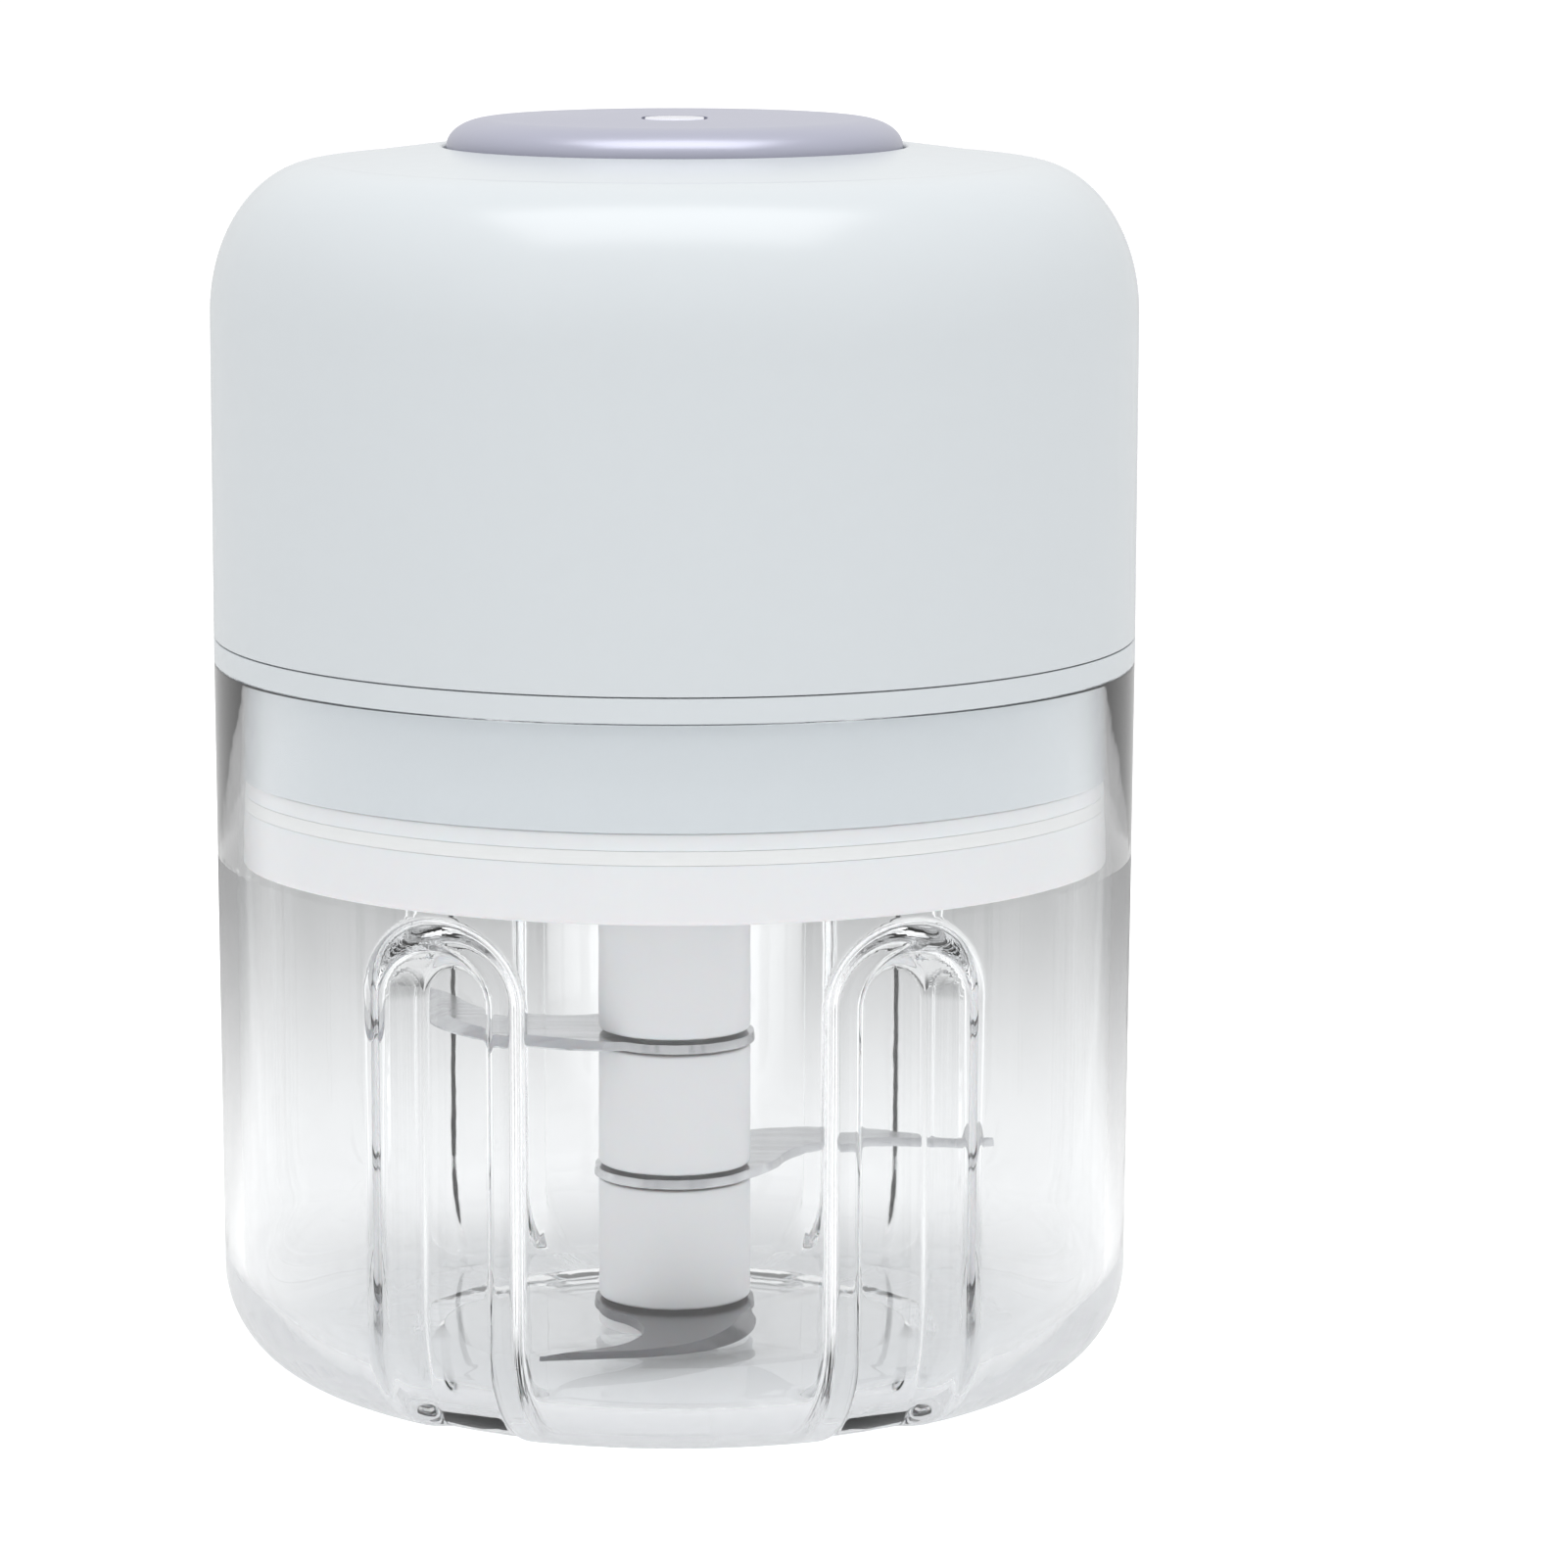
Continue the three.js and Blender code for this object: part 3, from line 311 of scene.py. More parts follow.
def prism(outline, low, high):
    # a flat outline given a thickness
    count = len(outline)
    caps = tessellate_polygon([[Vector((x, y, 0)) for x, y in outline]])
    points = [(x, y, z) for z in (low, high) for x, y in outline]
    faces = [tuple(c) for c in caps] + [tuple(i + count for i in reversed(c)) for c in caps]
    for i in range(count):
        n = (i + 1) % count
        faces.append((i, n, n + count, i + count))
    return solidify(newObject("prism", points, faces=faces))


def fitted(obj, name, body, slot, *nodes, angle=32):
    # names the piece, gives it its finish and its body, and hides the CAD nodes it stands for
    obj.name = name
    obj.data.name = name
    obj.data.materials.clear()
    obj.data.materials.append(finishes[slot])
    obj.data.shade_smooth()
    obj.data.set_sharp_from_angle(angle=math.radians(angle))
    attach(obj, body)
    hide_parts(*nodes)
    return obj


def newEffect(name, inputs, outputs):
    # a shader node group; a tuple is a colour, a plain number a value
    tree = bpy.data.node_groups.new(name, "ShaderNodeTree")
    for label, value in inputs.items():
        kind = "NodeSocketColor" if isinstance(value, tuple) else "NodeSocketFloat"
        socket = tree.interface.new_socket(label, in_out="INPUT", socket_type=kind)
        socket.default_value = (*value, 1) if isinstance(value, tuple) else value
    for label in outputs:
        kind = "NodeSocketColor" if label == "Colour" else "NodeSocketFloat"
        tree.interface.new_socket(label, in_out="OUTPUT", socket_type=kind)
    return tree, addNode(tree, "NodeGroupInput").outputs, addNode(tree, "NodeGroupOutput").inputs


def objectPlace(tree):
    return addNode(tree, "ShaderNodeTexCoord").outputs["Object"]


def noise(tree, place, scale, detail):
    given = {"Vector": place, "Scale": scale, "Detail": detail}
    return result(tree, "ShaderNodeTexNoise", given)


def ranged(tree, value, low, high, start=0.0, stop=1.0):
    given = {"Value": value, 1: low, 2: high, 3: start, 4: stop}
    return result(tree, "ShaderNodeMapRange", given)


def blended(tree, share, first, second):
    # a colour between two others
    return addNode(tree, "ShaderNodeMix", {0: share, 6: first, 7: second}, data_type="RGBA").outputs[2]


def makeMouldedSkin():
    # the fine grain of a moulded face, its slow tone drift, and the dull smudges of handling
    inputs = {
        "Grain Scale": 2600.0,
        "Smudge Scale": 34.0,
        "Light": (0.8, 0.8, 0.8),
        "Dark": (0.7, 0.7, 0.7),
        "Smooth": 0.2,
        "Dull": 0.32,
    }
    tree, given, out = newEffect("moulded skin", inputs, ("Colour", "Roughness", "Height"))
    place = objectPlace(tree)
    grain = noise(tree, place, given["Grain Scale"], 3.0)
    drift = noise(tree, place, given["Smudge Scale"], 1.0)
    slow = noise(tree, place, 11.0, 1.0)
    tone = blended(tree, slow, given["Dark"], given["Light"])
    smudge = ranged(tree, drift, 0.3, 0.7, given["Smooth"], given["Dull"])
    fine = times(tree, sums(tree, "SUBTRACT", grain, 0.5), 0.02)
    tree.links.new(tone, out["Colour"])
    tree.links.new(sums(tree, "ADD", smudge, fine), out["Roughness"])
    tree.links.new(grain, out["Height"])
    return tree


def makeBrushedLines():
    # fine straight lines left by grinding, with the odd deeper scratch
    inputs = {
        "Line Scale": 900.0,
        "Light": (0.8, 0.8, 0.8),
        "Dark": (0.6, 0.6, 0.6),
        "Smooth": 0.15,
        "Dull": 0.35,
    }
    tree, given, out = newEffect("brushed lines", inputs, ("Colour", "Roughness", "Height"))
    place = objectPlace(tree)
    stretched = result(tree, "ShaderNodeMapping", {"Vector": place, "Scale": (0.05, 1.0, 1.0)})
    lines = noise(tree, stretched, given["Line Scale"], 4.0)
    broad = noise(tree, place, 60.0, 2.0)
    both = times(tree, sums(tree, "ADD", lines, broad), 0.5)
    mask = ranged(tree, both, 0.38, 0.62)
    tree.links.new(blended(tree, mask, given["Dark"], given["Light"]), out["Colour"])
    tree.links.new(ranged(tree, mask, 0.0, 1.0, given["Dull"], given["Smooth"]), out["Roughness"])
    tree.links.new(lines, out["Height"])
    return tree


def makeDustVeil():
    # pale dust on faces that look up
    inputs = {"Colour": (0.8, 0.8, 0.8), "Dust": (0.85, 0.84, 0.82), "Amount": 0.15}
    tree, given, out = newEffect("dust veil", inputs, ("Colour", "Mask"))
    facing = addNode(tree, "ShaderNodeNewGeometry").outputs["Normal"]
    up = addNode(tree, "ShaderNodeSeparateXYZ", {0: facing}).outputs["Z"]
    place = objectPlace(tree)
    top = ranged(tree, up, 0.3, 1.0)
    patchy = ranged(tree, noise(tree, place, 420.0, 6.0), 0.45, 0.7)
    mask = times(tree, top, patchy, given["Amount"])
    tree.links.new(blended(tree, mask, given["Colour"], given["Dust"]), out["Colour"])
    tree.links.new(mask, out["Mask"])
    return tree


mouldedSkin = makeMouldedSkin()
brushedLines = makeBrushedLines()
dustVeil = makeDustVeil()


def newFinish(name):
    made = bpy.data.materials.new(name)
    made.use_nodes = True
    tree = made.node_tree
    tree.nodes.clear()
    shader = addNode(tree, "ShaderNodeBsdfPrincipled")
    addNode(tree, "ShaderNodeOutputMaterial", {"Surface": shader.outputs[0]})
    return made, tree, shader


def placed(tree, group, **values):
    # a shared effect in this material, with its own values
    made = tree.nodes.new("ShaderNodeGroup")
    made.node_tree = group
    for socket in made.inputs:
        key = camel(socket.name)
        if key in values:
            value = values[key]
            if isinstance(value, bpy.types.NodeSocket):
                tree.links.new(value, socket)
            else:
                socket.default_value = (*value, 1) if isinstance(value, tuple) else value
    return made


def relief(tree, skin, bump):
    given = {"Strength": 1.0, "Distance": bump * micro, "Height": skin.outputs["Height"]}
    return result(tree, "ShaderNodeBump", given)


def surfaced(name, effect, light, dark, rough, bump, dust=0.0, plain=None, **values):
    # a material from one of the effects: colour, roughness and bump vary over the surface;
    # rough is its smoothest and dullest value, bump is in micrometres
    made, tree, shader = newFinish(name)
    skin = placed(tree, effect, light=light, dark=dark, smooth=rough[0], dull=rough[1], **values)
    tone = skin.outputs["Colour"]
    if dust:
        tone = placed(tree, dustVeil, colour=tone, amount=dust).outputs["Colour"]
    tree.links.new(tone, shader.inputs["Base Color"])
    tree.links.new(skin.outputs["Roughness"], shader.inputs["Roughness"])
    tree.links.new(relief(tree, skin, bump), shader.inputs["Normal"])
    for label, value in (plain or {}).items():
        shader.inputs[label].default_value = value
    return made


clearSettings = {
    "ior": 1.5,
    "tint": (0.985, 0.992, 0.996),
    "shade": (0.98, 0.985, 0.99),
    "rough": (0.0, 0.03),
    "bump": 10,
    "grainScale": 140.0,
}


def clearPlastic():
    s = clearSettings
    made, tree, shader = newFinish("clear_plastic")
    shader.inputs["Transmission Weight"].default_value = 1.0
    shader.inputs["IOR"].default_value = s["ior"]
    shader.inputs["Base Color"].default_value = (*s["tint"], 1)
    skin = placed(tree, mouldedSkin, smooth=s["rough"][0], dull=s["rough"][1], grainScale=s["grainScale"])
    tree.links.new(relief(tree, skin, s["bump"]), shader.inputs["Normal"])
    tree.links.new(skin.outputs["Roughness"], shader.inputs["Roughness"])
    # lamps and the room's soft light shine through the wall instead of being stopped by it
    path = addNode(tree, "ShaderNodeLightPath").outputs
    clear = result(tree, "ShaderNodeBsdfTransparent", {0: (*s["shade"], 1)})
    seen = shader.outputs[0]
    for ray in ("Is Diffuse Ray", "Is Shadow Ray"):
        seen = result(tree, "ShaderNodeMixShader", {0: path[ray], 1: seen, 2: clear})
    tree.links.new(seen, tree.nodes["Material Output"].inputs["Surface"])
    return made


def lowBladePaintedReflection(made, tone):
    # the lowest blade is painted darker than the two polished ones above it: a painted dark reflection in
    # that blade's colour, up to just above its top
    tree = made.node_tree
    base = tree.nodes["Principled BSDF"].inputs["Base Color"]
    polished = base.links[0].from_socket
    place = objectPlace(tree)
    height = addNode(tree, "ShaderNodeSeparateXYZ", {0: place}).outputs["Z"]
    bladeTop = corners("bottom_blade")[1].z * mm
    raised = ranged(tree, height, bladeTop, bladeTop + 2 * mm)
    tree.links.new(blended(tree, raised, (*tone, 1), polished), base)


metal = {"Metallic": 1.0}
softPlastic = {"Subsurface Weight": 0.1, "Subsurface Scale": 0.002}
moulded = {
    "housing_plastic": {
        "light": (0.485, 0.512, 0.53), "dark": (0.475, 0.502, 0.52), "rough": (0.235, 0.255), "bump": 0.8,
        "grainScale": 700.0, "plain": {"IOR": 1.4, "Coat Weight": 0.04, "Coat Roughness": 0.15},
    },
    "button_plastic": {
        "light": (0.345, 0.35, 0.425), "dark": (0.33, 0.335, 0.41), "rough": (0.3, 0.36), "bump": 2,
        "plain": {"IOR": 1.5, "Metallic": 0.35},
    },
    "window_plastic": {
        "light": (0.66, 0.67, 0.78), "dark": (0.62, 0.63, 0.74), "rough": (0.1, 0.16), "bump": 2,
        "plain": {"IOR": 1.5, "Coat Weight": 0.5},
    },
    "white_plastic": {
        "light": (0.62, 0.62, 0.625), "dark": (0.595, 0.595, 0.605), "rough": (0.32, 0.42), "bump": 6,
        "plain": {"IOR": 1.5, "Subsurface Weight": 0.15, "Subsurface Scale": 0.002},
    },
    "silicone": {
        "light": (0.62, 0.62, 0.615), "dark": (0.6, 0.6, 0.595), "rough": (0.45, 0.6), "bump": 10,
        "plain": {"IOR": 1.42},
    },
    "nylon": {
        "light": (0.8, 0.77, 0.66), "dark": (0.74, 0.71, 0.6), "rough": (0.42, 0.56), "bump": 10,
        "plain": softPlastic,
    },
    "dark_plastic": {
        "light": (0.03, 0.031, 0.035), "dark": (0.02, 0.02, 0.024), "rough": (0.38, 0.55), "bump": 20,
        "dust": 0.2,
    },
    "seal_rubber": {
        "light": (0.035, 0.035, 0.037), "dark": (0.02, 0.02, 0.022), "rough": (0.55, 0.75), "bump": 20,
        "dust": 0.1,
    },
    "ferrite": {
        "light": (0.06, 0.06, 0.062), "dark": (0.035, 0.035, 0.037), "rough": (0.5, 0.7), "bump": 40,
        "plain": {"Metallic": 0.4},
    },
    "circuit_board": {
        "light": (0.02, 0.16, 0.06), "dark": (0.012, 0.1, 0.04), "rough": (0.3, 0.5), "bump": 20,
        "dust": 0.1, "plain": {"Coat Weight": 0.3},
    },
    "cell_sleeve": {
        "light": (0.05, 0.2, 0.48), "dark": (0.035, 0.15, 0.38), "rough": (0.25, 0.4), "bump": 20,
        "plain": {"Coat Weight": 0.4},
    },
}
brushed = {
    "blade_steel": {
        "light": (0.6, 0.605, 0.62), "dark": (0.48, 0.485, 0.5), "rough": (0.12, 0.26), "bump": 3,
    },
    "steel": {
        "light": (0.68, 0.69, 0.7), "dark": (0.56, 0.57, 0.58), "rough": (0.2, 0.36), "bump": 4,
    },
    "brass": {
        "light": (0.8, 0.6, 0.26), "dark": (0.66, 0.46, 0.16), "rough": (0.22, 0.4), "bump": 4,
    },
    "copper": {
        "light": (0.86, 0.45, 0.26), "dark": (0.66, 0.3, 0.14), "rough": (0.25, 0.42), "bump": 20,
        "lineScale": 1800.0,
    },
}
finishes = {"clear_plastic": clearPlastic()}
for name, look in moulded.items():
    finishes[name] = surfaced(name, mouldedSkin, **look)
for name, look in brushed.items():
    finishes[name] = surfaced(name, brushedLines, plain=metal, **look)
# painted dark reflection on the lowest blade
lowBladePaintedReflection(finishes["blade_steel"], (0.16, 0.16, 0.17))
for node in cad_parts.values():
    for holder in node.material_slots:
        holder.material = finishes[holder.material.name.split(".")[0]]
print("finishes:", len(finishes))


cupSizes = {
    "wall": 1.7,
    "draft": 0.35,  # narrower by this at the foot
    "corner": 9.4,
    "floor": 1.8,
    "footStep": 1.0,
    "footInner": 24.6,
    "footSlope": 3.6,
    "bossRadius": 3.0,
    "bossHeight": 3.7,
    "pinHole": 1.8,
    "pinFloor": 0.8,
    "ribAngles": (60, 120, 240, 300),
    "ribWidth": 12.5,
    "ribDepth": 4.1,
    "ribWall": 2.0,
    "toe": 5.4,
    "toeHeight": 10.0,
    "ribEdge": 2.0,  # width of the rounded step at a rib's edge, and at the top of its arch
    "ribCrown": 2.4,
    "ribMargin": 1.2,  # fine columns beside a rib
    "lidRoom": 0.3,
    "fineStep": 0.32,
    "wideStep": 3.0,  # degrees between columns away from the ribs
    "cornerSteps": 20,
    "plainRows": 8,
    "toeBend": 0.6,
    "lead": 8,  # how far off a rounding's neighbour point stands
}


def ribTopZ():
    return corners("inner_lid")[0].z - cupSizes["lidRoom"]


def smoothStep(value):
    share = min(1.0, max(0.0, value))
    return share * share * (3 - 2 * share)


def bend(first, middle, last, t):
    # a point on a three-point curve
    return first * (1 - t) ** 2 + middle * (2 * t * (1 - t)) + last * t**2


def archShare(across, z, half, top, edge, crown):
    # 1 inside a rib's arch, 0 outside, rounded over the edge's width, which grows to crown at its top
    straight = top - half
    over = max(0, z - straight)
    reach = math.hypot(across, over)
    width = edge + (crown - edge) * over / max(reach, half)
    return smoothStep((half - reach) / width + 0.5)


def cupColumns(s):
    # column angles: close together over the ribs, wide between them
    rim = corners("cup")[1].x
    span = math.degrees((s["ribWidth"] / 2 + s["ribMargin"]) / (rim - s["ribDepth"] - s["toe"] - s["wall"]))
    fine = math.degrees(s["fineStep"] / rim)
    angles = []
    ribs = sorted(s["ribAngles"])
    for i, rib in enumerate(ribs):
        steps = round(2 * span / fine)
        angles += [rib - span + 2 * span * k / steps for k in range(steps)]
        start = rib + span
        stop = (ribs + [ribs[0] + 360])[i + 1] - span
        steps = round((stop - start) / s["wideStep"])
        angles += [start + (stop - start) * k / steps for k in range(steps)]
    return angles


def cupRows(s):
    # rows from the middle of the foot, out and up to the rim, and down the inside to the pin's hole;
    # each is (plain point, point on the rib, half width of the rib there)
    rim, _, height = corners("cup")[1]
    ribTop = ribTopZ()
    floorZ = s["footStep"] + s["floor"]

    def outerR(z):
        return rim - s["draft"] * (height - z) / (height - s["corner"])

    foot = outerR(s["corner"]) - s["corner"]
    toeTop = floorZ + s["toeHeight"]
    face = outerR(ribTop) - s["wall"] - s["ribDepth"]
    archLow = ribTop - s["ribWidth"] / 2 - s["ribCrown"]
    fineTop = ribTop + s["fineStep"]
    fineRows = round((fineTop - archLow) / s["fineStep"])
    plainRows = s["plainRows"]
    levels = [toeTop + (archLow - toeTop) * k / plainRows for k in range(plainRows)]
    levels += [archLow + (fineTop - archLow) * k / fineRows for k in range(fineRows + 1)]

    def side(radiusAt, corner, low, ribFace, toeEnd, half):
        top = low + corner
        lower = arc(foot, top, corner, corner, -90, 0, s["cornerSteps"])
        between = [top + (toeTop - top) * k / 4 for k in range(1, 4)]
        turnIn = [Vector(p) for p in lower] + [Vector((radiusAt(z), z)) for z in between]
        rows = []
        bendMid = Vector((ribFace, low + s["toeBend"]))
        for i, spot in enumerate(turnIn):
            onRib = bend(Vector(toeEnd), bendMid, Vector((ribFace, toeTop)), i / len(turnIn))
            rows.append((spot, onRib, half))
        rows += [(Vector((radiusAt(z), z)), Vector((ribFace, z)), half) for z in levels]
        return rows

    outer = side(outerR, s["corner"], 0, face + s["ribWall"], (foot, 0), s["ribWidth"] / 2 - s["ribWall"])
    inner = side(
        lambda z: outerR(z) - s["wall"],
        s["corner"] - s["wall"],
        floorZ,
        face,
        (face - s["toe"], floorZ),
        s["ribWidth"] / 2,
    )
    inner.reverse()
    step, lead = s["footStep"], s["lead"]
    underside = eased([
        (0, step), (s["footInner"] - s["footSlope"], step, 0.5), (s["footInner"], 0, 0.5), (foot, 0),
    ])
    rimR, inR = outerR(height), outerR(height) - s["wall"]
    below = height - lead
    outLow, inLow = outerR(below), outerR(below) - s["wall"]
    lip = eased([(outLow, below), (rimR, height, 0.2), (inR, height, 0.3), (inLow, below)])
    boss = floorZ + s["bossHeight"]
    well = step + s["pinFloor"]
    middle = eased([
        (s["bossRadius"] + lead, floorZ), (s["bossRadius"], floorZ, 0.6), (s["bossRadius"], boss, 0.3),
        (s["pinHole"], boss, 0.2), (s["pinHole"], well), (0, well),
    ])

    def even(points):
        return [(Vector(p), Vector(p), 0) for p in points]

    return even(underside[:-1]) + outer + even(lip[1:-1]) + inner + even(middle[1:])


def makeCup():
    s = cupSizes
    columns = cupColumns(s)
    ribTop = ribTopZ()
    points, faces, ids = [], [], []
    for plain, onRib, half in cupRows(s):
        if plain.x < 1e-6:
            ids.append([len(points)] * len(columns))
            points.append((0, 0, plain.y))
            continue
        ids.append(list(range(len(points), len(points) + len(columns))))
        reach = (plain.x + onRib.x) / 2
        top = ribTop - s["ribCrown"] / 2 - (s["ribWidth"] / 2 - half if half else 0)
        for angle in columns:
            share = 0
            if half:
                nearest = min(s["ribAngles"], key=lambda rib: abs((angle - rib + 180) % 360 - 180))
                across = reach * math.sin(math.radians(angle - nearest))
                share = archShare(across, plain.y, half, top, s["ribEdge"], s["ribCrown"])
            spot = plain.lerp(onRib, share)
            points.append((*polar(spot.x, angle), spot.y))
    for lower, upper in zip(ids, ids[1:]):
        for k in range(len(columns)):
            n = (k + 1) % len(columns)
            ring = [lower[k], lower[n], upper[n], upper[k]]
            face = [v for i, v in enumerate(ring) if v != ring[i - 1]]
            if len(face) > 2:
                faces.append(face)
    cup = newObject("cup_body", points, faces=faces)
    return fitted(solidify(cup), "cup_body", "cup", "clear_plastic", "cup", angle=50)


cup = makeCup()
print("cup:", len(cup.data.polygons), "faces")

towerSizes = {
    "edge": 0.3,
    "crownEdge": 0.5,
    "stemCorner": 5.1,
    "room": 0.35,
    "bushRoom": 0.3,
    "pinBore": 2.1,
    "pinHeadroom": 1.5,
    "bore": 3,  # a sleeve's first hole, which the stem's hole takes in
    "mouth": 0.8,  # depth of the socket's flared mouth
    "proud": 0.2,
    "past": 1.0,  # how far a cut or a join runs past a face
}


def makeTower():
    s = towerSizes
    stemR, room, edge, past = s["stemCorner"], s["room"], s["edge"], s["past"]
    bore = s["bore"]

    def six(radius, bottom, top):
        # a six-sided bar
        return turned([(0, bottom), (radius, bottom), (radius, top), (0, top)], 6)

    for node in ("lower_spacer", "upper_spacer", "tower_foot_ring"):
        low, high = corners(node)
        outline = [(bore, low.z), (high.x, low.z, edge), (high.x, high.z, edge), (bore, high.z)]
        sleeve = cut(turned(eased(outline), 96), six(stemR + room, low.z - past, high.z + past))
        fitted(sleeve, node + "_sleeve", "blade_tower", "white_plastic", node)
    low, high = corners("tower_core")
    headZ = corners("top_blade")[1].z + room
    outline = [(0, headZ), (high.x, headZ, edge), (high.x, high.z, s["crownEdge"]), (0, high.z)]
    core = joined(turned(eased(outline), 96), six(stemR, low.z, headZ + past))
    bush, pin, dog = corners("pivot_bush")[1], corners("pivot_pin")[1], corners("drive_dog")
    socket, bottom = dog[1].x + room, dog[0].z - past
    flare, top = high.z - s["mouth"], high.z + s["proud"]
    mouth = [(0, bottom), (socket, bottom), (socket, flare), (socket + past, top), (0, top)]
    tools = [
        rod(bush.x + s["bushRoom"], 0, bush.z + s["bushRoom"], sides=48),
        rod(s["pinBore"], 0, pin.z + s["pinHeadroom"], sides=48),
        turned(mouth, 6, closed=False),
    ]
    fitted(cut(core, *tools), "tower_core_moulding", "blade_tower", "white_plastic", "tower_core")


bladeSizes = {
    "ring": 7.25,
    "hole": 5.45,
    # the plan's handles as (radius, degrees from the tip), for a blade whose tip is at nominal
    "nominal": 31,
    "rootTurn": 92,
    "sweep": ((13, 74), (22, 42), (25, 17)),
    "nose": (27, 9),
    "hook": ((25.5, 3), (22, 9)),
    "belly": ((18, 15), (13, 18), (9.5, -8)),
    "heel": (8.6, -22),
    "heelTurn": -46,
    "backSteps": 48,
    "tips": {"bottom_blade": (245, 27.69), "middle_blade": (19, 31.4), "top_blade": (139, 31.4)},
    "land": 0.14,  # thickness left at the cutting edge
    "grind": 1.5,  # width of the ground bevel, which fades in from the root and out at the tip
    "fadeIn": 5,
    "fadeOut": 9,
    "deburr": 0.08,
    "steps": 26,
}


def curvePoints(spots, steps):
    # points along a curve with two or three handles, without its last point
    points = []
    for i in range(steps):
        t = i / steps
        work = [Vector(p) for p in spots]
        while len(work) > 1:
            work = [a.lerp(b, t) for a, b in zip(work, work[1:])]
        points.append(work[0])
    return points


def makeBlade(node):
    s = bladeSizes
    turn, tipR = s["tips"][node]
    low, high = corners(node)
    steps, ring, backSteps = s["steps"], s["ring"], s["backSteps"]

    def spots(*handles):
        return [polar(radius * tipR / s["nominal"], degrees) for radius, degrees in handles]

    tip = [polar(tipR, 0)]
    heel = [polar(*s["heel"]), polar(ring, s["heelTurn"])]
    outer = curvePoints([polar(ring, s["rootTurn"])] + spots(*s["sweep"]), steps)
    outer += curvePoints(spots(s["sweep"][-1], s["nose"]) + tip, steps // 2)
    inner = curvePoints(tip + spots(*s["hook"]), steps // 2)
    inner += curvePoints(spots(s["hook"][-1], *s["belly"]), steps)
    inner += curvePoints(spots(s["belly"][-1]) + heel, steps // 2)
    around = 360 + s["heelTurn"] - s["rootTurn"]
    back = [polar(ring, s["heelTurn"] - around * i / backSteps) for i in range(backSteps)]
    outline = outer + inner + back
    count = len(outline)
    total = len(outer)
    inset = []
    for i, spot in enumerate(outline):
        along = (outline[(i + 1) % count] - outline[i - 1]).normalized()
        inward = Vector((along.y, -along.x))
        share = i / total
        fade = smoothStep(share * s["fadeIn"]) * smoothStep((1 - share) * s["fadeOut"])
        ground = s["grind"] * fade if i < total else 0
        inset.append(spot + inward * max(ground, s["deburr"]))
    hexagon = [polar(s["hole"], 60 * k - turn) for k in range(6)]
    layers = [(outline, low.z), (outline, low.z + s["land"]), (inset, high.z)]
    points, faces = [], []
    for loop, z in layers:
        points += [(p.x, p.y, z) for p in loop]
    for z in (low.z, high.z):
        points += [(p.x, p.y, z) for p in hexagon]
    for layer in range(2):
        for i in range(count):
            a, b = layer * count + i, layer * count + (i + 1) % count
            faces.append((a, b, b + count, a + count))
    first = 3 * count
    for k in range(6):
        a, b = first + k, first + (k + 1) % 6
        faces.append((a, b, b + 6, a + 6))
    for loop, z, start, holeStart in ((outline, low.z, 0, first), (inset, high.z, 2 * count, first + 6)):
        ids = list(range(start, start + count)) + list(range(holeStart, holeStart + 6))
        flat = [[Vector((p.x, p.y, 0)) for p in loop], [Vector((p.x, p.y, 0)) for p in hexagon]]
        faces += [tuple(ids[v] for v in tri) for tri in tessellate_polygon(flat)]
    blade = newObject(node, points, faces=faces)
    moved(solidify(blade), turn=turn)
    return fitted(blade, node + "_plate", "blade_tower", "blade_steel", node, angle=20)


makeTower()
for node in bladeSizes["tips"]:
    makeBlade(node)
print("blade tower")

lidSizes = {
    "band": 2.2,
    "plate": 1.8,
    "plateUp": 1.5,
    "hub": 1.8,
    "hubDrop": 1.0,
    "hubHeight": 4.5,
    "ribs": 6,
    "ribWidth": 1.4,
    "ribHeight": 1.6,
    "ribSink": 0.5,  # how far a rib runs into the plate, hub and band
    "grooveDepth": 1.4,
    "room": 0.3,
    "sealRoom": 0.02,
    "lip": 0.04,  # the seal's soft edge, proud of the band
    "edge": 0.25,
}


